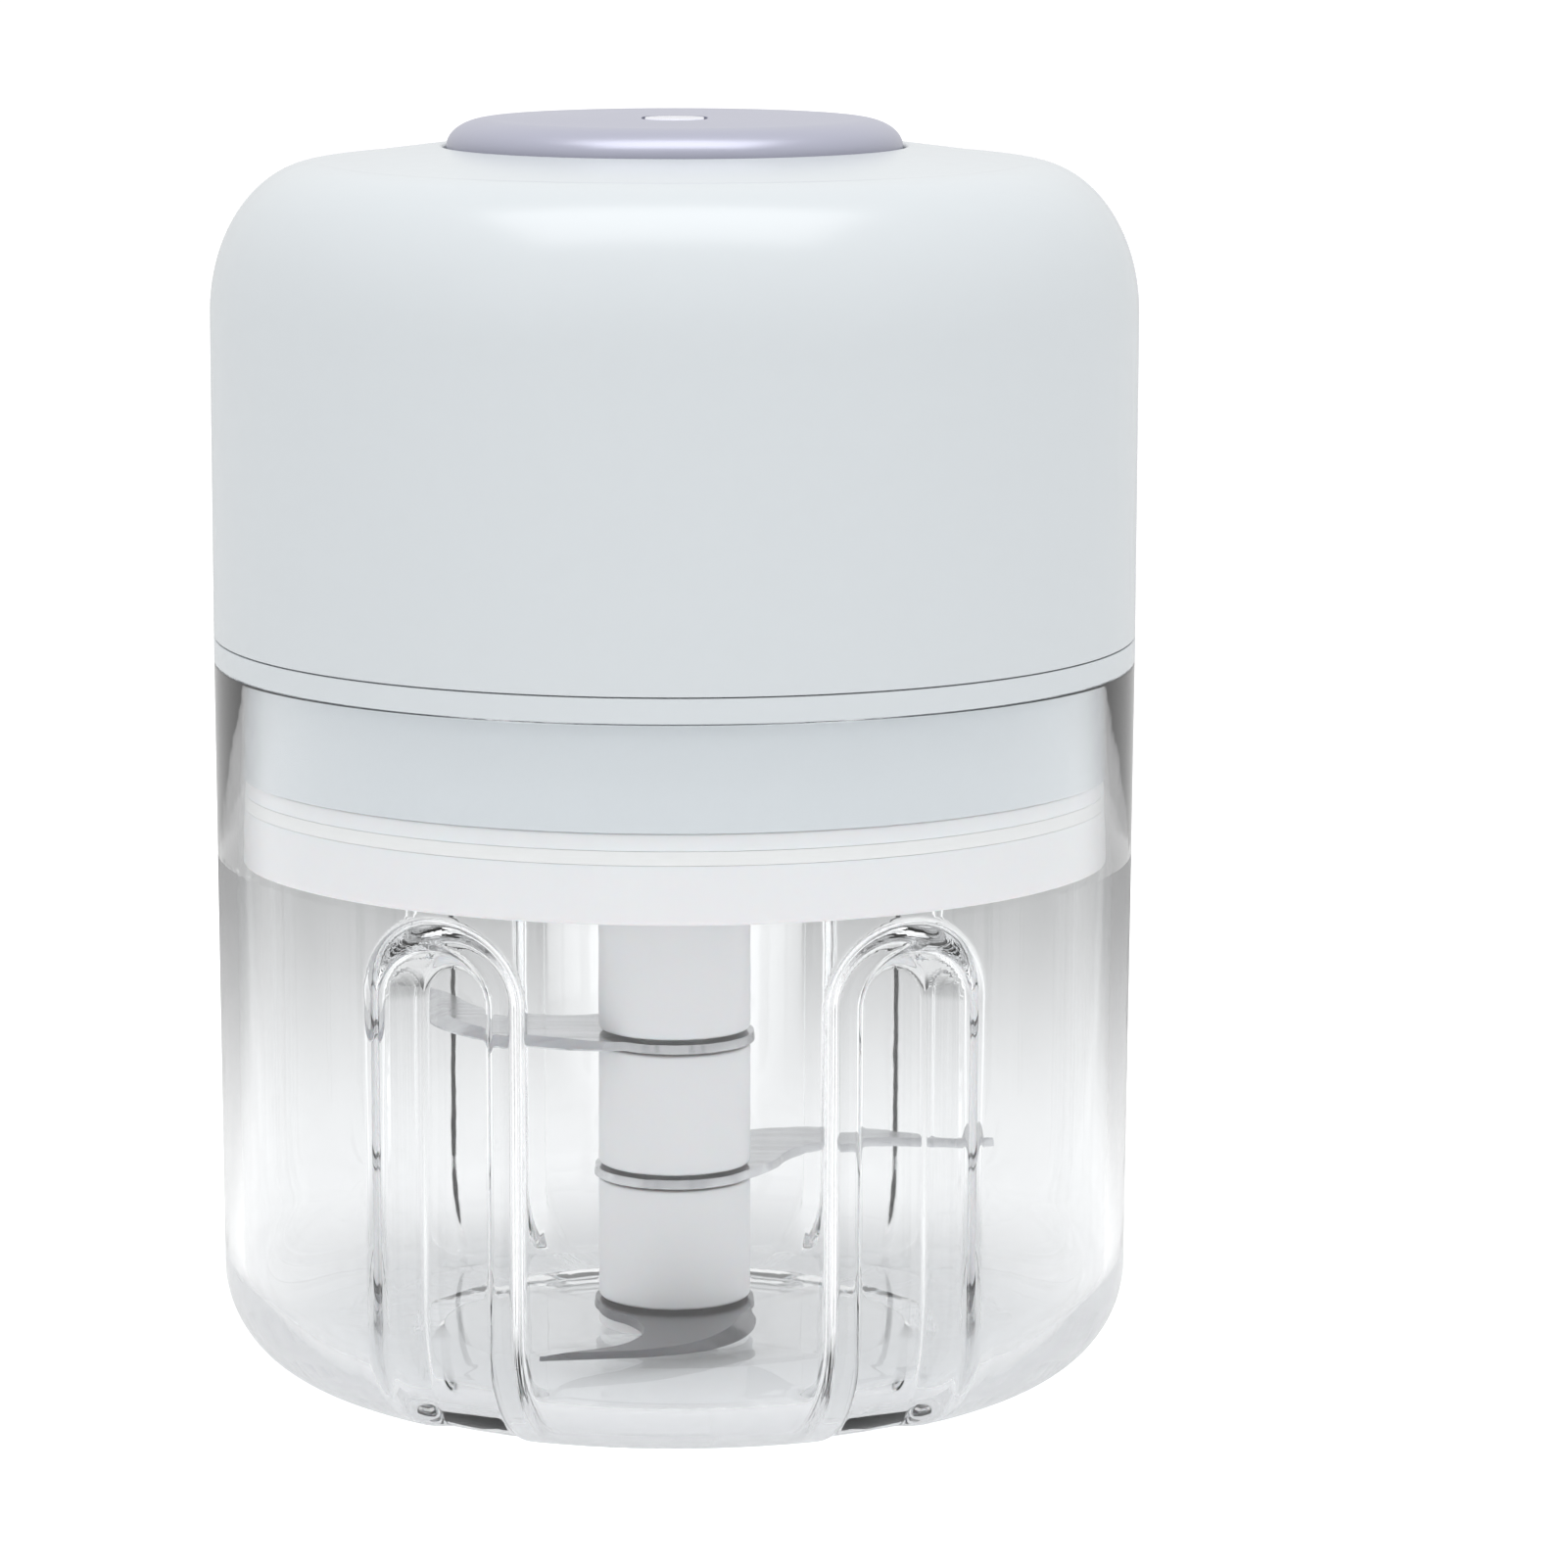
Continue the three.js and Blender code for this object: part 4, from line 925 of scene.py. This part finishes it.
def makeLid():
    s = lidSizes
    low, high = corners("inner_lid")
    sealLow, sealHigh = corners("lid_seal")
    hole = corners("tower_core")[1].x + s["room"]
    hub = hole + s["hub"]
    inside = high.x - s["band"]
    plate = low.z + s["plateUp"]
    plateTop = plate + s["plate"]
    hubZ = plate - s["hubDrop"]
    hubTop = hubZ + s["hubHeight"]
    groove = high.x - s["grooveDepth"]
    edge = s["edge"]
    grooveLow, grooveHigh = sealLow.z - s["sealRoom"], sealHigh.z + s["sealRoom"]
    outline = [
        (hole, hubZ, edge), (hub, hubZ, edge), (hub, plate, 0.5), (inside, plate, 0.5),
        (inside, low.z, edge), (high.x, low.z, 0.5), (high.x, grooveLow, 0.05), (groove, grooveLow, 0.2),
        (groove, grooveHigh, 0.2), (high.x, grooveHigh, 0.05), (high.x, high.z, edge),
        (inside, high.z, edge), (inside, plateTop, 0.6), (hub, plateTop, 0.6),
        (hub, hubTop, edge), (hole, hubTop, edge),
    ]
    lid = turned(eased(outline), 192)
    half, sink = s["ribWidth"] / 2, s["ribSink"]
    ribHigh = (inside + sink, half, plateTop + s["ribHeight"])
    rib = softBlock((hub - sink, -half, plateTop - sink), ribHigh, 0.3)
    count = s["ribs"]
    ribs = grown(rib, ringTree, count=count, radius=0.0, firstAngle=math.pi / count)
    fitted(joined(lid, ribs), "inner_lid_moulding", "inner_lid", "white_plastic", "inner_lid")
    sealIn = groove + s["room"]
    middle = (sealLow.z + sealHigh.z) / 2
    lip = [
        (sealIn, sealLow.z, 0.15), (high.x, sealLow.z, 0.05), (high.x + s["lip"], middle, 0.4),
        (high.x, sealHigh.z, 0.05), (sealIn, sealHigh.z, 0.15),
    ]
    seal = turned(eased(lip), 192)
    fitted(seal, "lid_seal_ring", "inner_lid", "silicone", "lid_seal")


makeLid()
print("inner lid")

baseSizes = {
    "wall": 2.0,
    "seat": 0.3,  # room that the head's weight closes, above and below the collar
    "seam": 0.1,  # what is left of it
    "collar": 1.75,
    "collarEdge": 0.12,
    "lip": 3.4,
    "nozzle": 2.0,
    "nozzleWall": 1.9,
    "room": 0.3,
    "plugRoom": 0.36,  # between the plug and the cup's wall
    "plugEdge": 0.08,
    "plugStep": (5, 6),  # where the plug's raised underside begins and ends, in from its edge
    "screwIn": 6.0,
    "screwAngles": (30, 150, 270),
    "boss": 4.0,
    "bossHeight": 3.2,
    "counterbore": 2.7,
    "screwSeat": 0.7,
    "screwHole": 1.6,
    "earAngles": (90, 210, 330),
    "earBoss": 2.6,
    "earBossHeight": 3.0,
    "earHole": 1.3,
    "earFloor": 0.9,
    "shellWall": 2.0,
    "sink": 0.5,  # how far a boss or post runs into the plate
    "postIn": 2.0,
    "postOut": 2.8,
    "postSides": 2,
    "postHeight": 7,
    "slotHeight": 20,
    "past": 1.0,
}


def makeHeadBase():
    s = baseSizes
    low, high = corners("head_base")
    cupHigh = corners("cup")[1]
    bodyR, room, past = high.x, s["room"], s["past"]
    plug = low.z + s["nozzle"]
    collar = cupHigh.z + s["seam"]
    collarTop = cupHigh.z + s["collar"] + 2 * s["seat"] - s["seam"]
    lipTop = collarTop + s["lip"]
    plugLow = corners("inner_lid")[1].z + s["seam"] / 2
    plugR = cupHigh.x - cupSizes["wall"] - s["plugRoom"]
    stepOut, stepIn = s["plugStep"]
    inner = plugR - s["wall"]
    plate = plug + s["wall"]
    lipR = bodyR - s["shellWall"] - room
    bore = corners("output_bush")[1].x + room
    nozzle = bore + s["nozzleWall"]
    edge = s["collarEdge"]
    outline = [
        (bore, low.z, 0.2), (nozzle, low.z, 0.4), (nozzle, plug, 0.5), (plugR - stepIn, plug),
        (plugR - stepOut, plugLow), (plugR, plugLow, s["plugEdge"]),
        (plugR, collar, 0.1), (bodyR, collar, edge), (bodyR, collarTop, edge), (lipR, collarTop, 0.05),
        (lipR, lipTop, 0.4), (inner, lipTop, 0.2), (inner, plate, 0.8), (bore, plate, 0.2),
    ]
    base = turned(eased(outline), 192)
    floor = plate - s["sink"]
    at = bodyR - s["shellWall"] - s["screwIn"]
    bossTop = plate + s["bossHeight"]
    for angle in s["screwAngles"]:
        x, y = polar(at, angle)
        joined(base, rod(s["boss"], floor, bossTop, x, y, 48))
        cut(base, rod(s["counterbore"], plug - past, plate + s["screwSeat"], x, y, 48))
        cut(base, rod(s["screwHole"], plug, bossTop + past, x, y))
    screws = corners("gearbox_screw_1")
    earAt = (screws[0].y + screws[1].y) / 2
    earTop = plate + s["earBossHeight"]
    for angle in s["earAngles"]:
        x, y = polar(earAt, angle)
        joined(base, rod(s["earBoss"], floor, earTop, x, y, 40))
        cut(base, rod(s["earHole"], plug + s["earFloor"], earTop + past, x, y))
    front, back = corners("charge_board")
    sides, postTop = s["postSides"], front.z + s["postHeight"]
    for sign in (-1, 1):
        edge = back.x * sign
        post = sorted((edge - s["postIn"] * sign, edge + s["postOut"] * sign))
        slot = sorted((0, edge + room * sign))
        postLow = (post[0], front.y - sides, floor)
        block = softBlock(postLow, (post[1], back.y + sides, postTop), 0.3)
        slotLow = (slot[0], front.y - room, front.z - room)
        notch = softBlock(slotLow, (slot[1], back.y + room, front.z + s["slotHeight"]), 0.1)
        joined(base, cut(block, notch))
    fitted(base, "head_base_moulding", "head", "housing_plastic", "head_base")


makeHeadBase()
print("head base")

shellSizes = {
    "wall": 2.0,
    "shoulderIn": 9.8,
    "shoulderUp": 13.3,
    "crownRise": 1.4,
    "crownHole": 20.4,
    "edge": 0.12,
    "pillar": 3.2,
    "pillarUnder": 3.4,  # from the crown down to a pillar's top
    "web": 0.8,
    "webUp": 1.0,
    "webTop": 4.0,
    "sink": 0.5,
    "pilot": 1.6,
    "pillarUp": 0.3,
    "portRoom": 0.35,
    "portRound": 1.9,
    "portBand": 0.6,
    "past": 1.0,
}


def makeShell():
    s = shellSizes
    high = corners("head_shell")[1]
    rim = corners("cup")[1].z + baseSizes["collar"] + 2 * baseSizes["seat"]
    wall, past = s["wall"], s["past"]
    bodyR, inner = high.x, high.x - wall
    hole = s["crownHole"]
    acrossR, up = s["shoulderIn"], s["shoulderUp"]
    shoulderR = bodyR - acrossR
    crown = high.z - s["crownRise"]
    shoulder = crown - up
    usbLow, usbHigh = corners("usb_socket")
    low, top = usbLow.z - s["portBand"], usbHigh.z + s["portBand"]
    outside = [(bodyR, rim, s["edge"]), (bodyR, low), (bodyR, (low + top) / 2), (bodyR, top)]
    outside += arc(shoulderR, shoulder, acrossR, up, 0, 88, 34)
    outside += [(shoulderR, crown, 0.8), (hole, high.z, 0.45)]
    inside = [(hole, high.z - wall, 0.3)]
    inside += arc(shoulderR, shoulder, acrossR - wall, up - wall, 90, 0, 20)
    inside += [(inner, rim, 0.2)]
    shell = turned(eased(outside + inside), 256)
    base = baseSizes
    bossTop = corners("head_base")[0].z + base["nozzle"] + base["wall"] + base["bossHeight"]
    screwTop = corners("case_screw_1")[1].z
    at = inner - base["screwIn"]
    webLow = (at, -s["web"], rim + base["lip"] + s["webUp"])
    webHigh = (inner + s["sink"], s["web"], shoulder + s["webTop"])
    for angle in base["screwAngles"]:
        pillar = rod(s["pillar"], bossTop + s["pillarUp"], crown - s["pillarUnder"], at, 0, 40)
        joined(pillar, softBlock(webLow, webHigh, 0.2))
        cut(pillar, rod(s["pilot"], bossTop - past, screwTop + past, at, 0))
        joined(shell, moved(pillar, turn=angle))
    room = s["portRoom"]
    slotLow = (usbLow.x - room, inner - 4, usbLow.z - room)
    slotHigh = (usbHigh.x + room, bodyR + 2, usbHigh.z + room)
    slot = softBlock(slotLow, slotHigh, s["portRound"], along="Y")
    fitted(cut(shell, slot), "head_shell_moulding", "head", "housing_plastic", "head_shell", angle=25)


makeShell()
print("housing")

buttonSizes = {
    "room": 0.3,
    "bevelIn": 3.8,
    "wall": 1.8,
    "skirt": 2.8,
    "under": 1.8,
    "stem": 2.2,
    "hooks": 3,
    "hookWidth": 5.0,
    "hookHeight": 1.5,
    "hookReach": 1.4,
    "hookRoom": 0.3,
    "windowRoom": 0.3,
    "windowEdge": 0.25,
    "rimDrop": 0.1,
    "switchGap": 1.8,
}


def oval(halfWidth, halfLength, steps=20):
    straight = halfLength - halfWidth
    ends = []
    for turn, centre in ((0, straight), (180, -straight)):
        for i in range(steps + 1):
            spot = polar(halfWidth, turn + 180 * i / steps)
            ends.append((spot.x, spot.y + centre))
    return ends


def makeButton():
    s = buttonSizes
    high = corners("button_cap")[1]
    shellTop = corners("head_shell")[1].z
    radius = shellSizes["crownHole"] - s["room"]
    rim = shellTop - s["rimDrop"]
    topR = radius - s["bevelIn"]
    inner = radius - s["wall"]
    under = high.z - s["under"]
    skirt = rim - s["skirt"]
    outline = [(0, under), (topR - 1, under, 0.4), (inner, rim - 0.6, 0.4), (inner, skirt, 0.2)]
    outline += [(radius, skirt, 0.2)]
    outline += arc(topR, rim, s["bevelIn"], high.z - rim, 0, 88, 16)
    outline += [(topR - 0.4, high.z, 0.4), (0, high.z)]
    cap = turned(eased(outline), 160, closed=False)
    stemLow = corners("push_switch")[1].z + s["switchGap"]
    joined(cap, rod(s["stem"], stemLow, under + 0.5))
    hookTop = shellTop - shellSizes["wall"] - s["hookRoom"]
    half = s["hookWidth"] / 2
    for k in range(s["hooks"]):
        low = (inner, -half, hookTop - s["hookHeight"])
        hook = softBlock(low, (radius + s["hookReach"], half, hookTop), 0.2)
        joined(cap, moved(hook, turn=90 + 360 * k / s["hooks"]))
    windowLow, windowHigh = corners("button_window")
    half, long = windowHigh.x, windowHigh.y
    room = s["windowRoom"]
    seat = prism(oval(half + room, long + room), windowLow.z - room, high.z + 1)
    fitted(cut(cap, seat), "button_cap_moulding", "button", "button_plastic", "button_cap")
    pane = prism(oval(half, long), windowLow.z, windowHigh.z)
    bevel = pane.modifiers.new("edge", "BEVEL")
    bevel.width = s["windowEdge"] * mm
    bevel.segments = 3
    bevel.limit_method = "ANGLE"
    fitted(settled(pane), "button_window_lens", "button", "window_plastic", "button_window")


makeButton()
print("button")

springSizes = {"turns": 4.0, "wire": 0.45}
screwSizes = {
    "head": 2.4, "headHeight": 1.6, "shank": 1.3, "point": 1.5,
    "cross": 0.55, "crossReach": 1.5, "crossDeep": 1.1,
}
socketSizes = {"round": 1.65, "sheet": 0.4, "back": 1.2}


def makeSpring():
    s = springSizes
    low, high = corners("button_spring")
    wire = s["wire"]
    coil = grown(
        newObject("spring", [(0, 0, 0)]),
        coilTree,
        turns=s["turns"],
        coilRadius=(high.x - wire) * mm,
        height=(high.z - low.z - 2 * wire) * mm,
        wireRadius=wire * mm,
        lift=(low.z + wire) * mm,
    )
    fitted(solidify(coil), "button_spring_coil", "head", "steel", "button_spring")
    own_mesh(coil)


def makeCaseScrews():
    s = screwSizes
    low, high = corners("case_screw_1")
    seat = low.z + s["headHeight"]
    outline = [
        (0, low.z), (s["head"], low.z, 0.5), (s["head"], seat, 0.2), (s["shank"], seat, 0.15),
        (s["shank"], high.z - s["point"]), (0.3, high.z), (0, high.z),
    ]
    screw = turned(eased(outline), 40, closed=False)
    for turn in (0, 90):
        reach, half = s["crossReach"], s["cross"] / 2
        bar = softBlock((-reach, -half, low.z - 1), (reach, half, low.z + s["crossDeep"]), 0.05)
        cut(screw, moved(bar, turn=turn))
    angles = baseSizes["screwAngles"]
    at = corners("head_shell")[1].x - shellSizes["wall"] - baseSizes["screwIn"]
    first = math.radians(angles[0])
    screws = grown(
        screw, ringTree, count=len(angles), radius=at * mm, firstAngle=first
    )
    fitted(screws, "case_screws", "head", "steel", "case_screw_1", "case_screw_2", "case_screw_3")


def makeSocket():
    s = socketSizes
    low, high = corners("usb_socket")
    sheet = s["sheet"]
    outer = softBlock(low, high, s["round"], along="Y")
    coreLow = (low.x + sheet, low.y + s["back"], low.z + sheet)
    coreHigh = (high.x - sheet, high.y + 1, high.z - sheet)
    core = softBlock(coreLow, coreHigh, s["round"] - sheet, along="Y")
    fitted(cut(outer, core), "usb_socket_shell", "head", "steel", "usb_socket")


makeSpring()
makeCaseScrews()
makeSocket()
print("spring, screws, socket")

studio = {
    "floorSize": 30.0,
    "tableSize": 0.27,  # radius of the floor that the cup and the head mirror and bend
    "underTable": 0.0004,
    "floorTone": (0.97, 0.972, 0.975),
    "floorGlow": 0.22,
    "lens": 139.3,
    "camera": (0.0, -0.5363, 0.1407),
    "tilt": 80.65,
    "shift": 0.0698,
    "aim": 0.08,  # height that the lamps point at
    "sky": 0.95,
    "horizon": 0.8,
    "skyRise": (0.0, 0.7),
    "cardBehind": (0.0, 0.2),
    "cardDark": 0.95,
    "cardInner": (0.03, 0.12),  # sideways share of the direction where a card begins and ends
    "cardOuter": (0.4, 0.55),
    "cardLow": (-0.4, -0.32),  # and where they begin and end in height
    "cardHigh": (-0.13, -0.06),
    # painted shade on the table's colour, seen only through the cup and in what the cup and head mirror: an
    # even dimming
    "dim": 0.28,
    # a painted shadow on the table near the cup's foot
    "footShade": 0.14,
    "footShadeFrom": (0.03, 0.07),
    # and the cards' painted shade, growing further out
    "shade": 0.5,
    "shadeFrom": (0.0, 0.27),
    "shadeOuter": (0.75, 0.92),
}
lamps = {
    "overheadBox": {"place": (0.0, -0.1, 0.62), "size": (0.56, 0.36), "watts": 2.3, "mirrored": True},
    "frontLeftBox": {"place": (-0.55, -0.65, 0.45), "size": (0.3, 0.5), "watts": 0.7, "mirrored": False},
    "frontRightBox": {"place": (0.6, -0.6, 0.4), "size": (0.3, 0.5), "watts": 0.7, "mirrored": False},
}


def ramp(tree, value, span, start, stop):
    given = {"Value": value, 1: span[0], 2: span[1], 3: start, 4: stop}
    return result(tree, "ShaderNodeMapRange", given, interpolation_type="SMOOTHSTEP")


def cardShare(tree, direction, outside):
    # two dark cards behind the chopper, left and right of the view
    s = studio
    parts = addNode(tree, "ShaderNodeSeparateXYZ", {0: direction}).outputs
    aside = sums(tree, "ABSOLUTE", parts["X"])
    inner = ramp(tree, aside, s["cardInner"], 0.0, 1.0)
    outer = ramp(tree, aside, outside, 1.0, 0.0)
    behind = ramp(tree, parts["Y"], s["cardBehind"], 0.0, s["cardDark"])
    across = times(tree, inner, outer, behind)
    return across, parts["Z"]


def makeFloor(name, outline):
    # the table's colour carries painted shade where the cup bends it and where the cup and head mirror it:
    # the cards' painted shade, more the further it is from the chopper, a painted shadow near the foot, and
    # an even painted dimming
    s = studio
    floor = newObject(name, [(x / mm, y / mm, 0) for x, y in outline], faces=[range(len(outline))])
    material, tree, shader = newFinish(name)
    place = objectPlace(tree)
    away = addNode(tree, "ShaderNodeVectorMath", {0: place}, operation="LENGTH").outputs["Value"]
    direction = result(tree, "ShaderNodeVectorMath", {0: place}, operation="NORMALIZE")
    card = cardShare(tree, direction, s["shadeOuter"])[0]
    shade = times(tree, card, ramp(tree, away, s["shadeFrom"], 0.0, s["shade"]))
    # painted shadow near the cup's foot
    near = ramp(tree, away, s["footShadeFrom"], s["footShade"], 0.0)
    path = addNode(tree, "ShaderNodeLightPath").outputs
    bent = sums(tree, "MAXIMUM", path["Is Transmission Ray"], path["Is Glossy Ray"])
    dark = sums(tree, "ADD", shade, sums(tree, "ADD", near, s["dim"]))
    light = sums(tree, "SUBTRACT", 1.0, times(tree, bent, dark))
    tone = blended(tree, light, (0, 0, 0, 1), (*s["floorTone"], 1))
    tree.links.new(tone, shader.inputs["Base Color"])
    tree.links.new(tone, shader.inputs["Emission Color"])
    shader.inputs["Roughness"].default_value = 0.7
    shader.inputs["Specular IOR Level"].default_value = 0.2
    shader.inputs["Emission Strength"].default_value = s["floorGlow"]
    floor.data.materials.append(material)
    return floor


def makeStudio():
    s = studio
    half = s["floorSize"] / 2
    makeFloor("studio_table", [polar(s["tableSize"], 5 * k) for k in range(72)])
    wide = makeFloor("studio_floor", [(-half, -half), (half, -half), (half, half), (-half, half)])
    wide.data.transform(Matrix.Translation((0, 0, -s["underTable"])))
    wide.visible_transmission = False
    wide.visible_glossy = False
    for name, lamp in lamps.items():
        data = bpy.data.lights.new(name, "AREA")
        data.shape = "RECTANGLE"
        data.size, data.size_y = lamp["size"]
        data.energy = lamp["watts"]
        light = bpy.data.objects.new(name, data)
        light.location = lamp["place"]
        towards = Vector((0, 0, s["aim"])) - Vector(lamp["place"])
        light.rotation_euler = towards.to_track_quat("-Z", "Y").to_euler()
        light.visible_glossy = lamp["mirrored"]
        light.visible_transmission = lamp["mirrored"]
        scene.collection.objects.link(light)


def makeWorld():
    # a white room, a little brighter overhead; the camera itself sees plain white
    s = studio
    world = bpy.data.worlds.new("room")
    world.use_nodes = True
    tree = world.node_tree
    tree.nodes.clear()
    place = addNode(tree, "ShaderNodeTexCoord").outputs["Generated"]
    card, up = cardShare(tree, place, s["cardOuter"])
    low = ramp(tree, up, s["cardLow"], 0.0, 1.0)
    high = ramp(tree, up, s["cardHigh"], 1.0, 0.0)
    path = addNode(tree, "ShaderNodeLightPath").outputs
    card = times(tree, card, times(tree, low, high))
    card = times(tree, card, path["Is Transmission Ray"])  # only the cup bends them into view
    rise = ramp(tree, up, s["skyRise"], s["horizon"], s["sky"])
    shown = times(tree, rise, sums(tree, "SUBTRACT", 1.0, card))
    lit = {0: path["Is Camera Ray"], 2: shown, 3: 1.0}
    strength = result(tree, "ShaderNodeMix", lit, data_type="FLOAT")
    back = addNode(tree, "ShaderNodeBackground", {"Color": (1, 1, 1, 1), "Strength": strength})
    addNode(tree, "ShaderNodeOutputWorld", {"Surface": back.outputs[0]})
    scene.world = world


def makeCamera():
    s = studio
    data = bpy.data.cameras.new("camera")
    data.lens = s["lens"]
    data.sensor_width = 36
    data.shift_x = s["shift"]
    camera = bpy.data.objects.new("camera", data)
    camera.location = s["camera"]
    camera.rotation_euler = (math.radians(s["tilt"]), 0, 0)
    scene.collection.objects.link(camera)
    scene.camera = camera


makeStudio()
makeWorld()
makeCamera()
scene.view_settings.view_transform = "Standard"
scene.cycles.max_bounces = 24  # light runs a long way inside the cup's wall
scene.cycles.glossy_bounces = 12
scene.cycles.transmission_bounces = 20
print("studio")
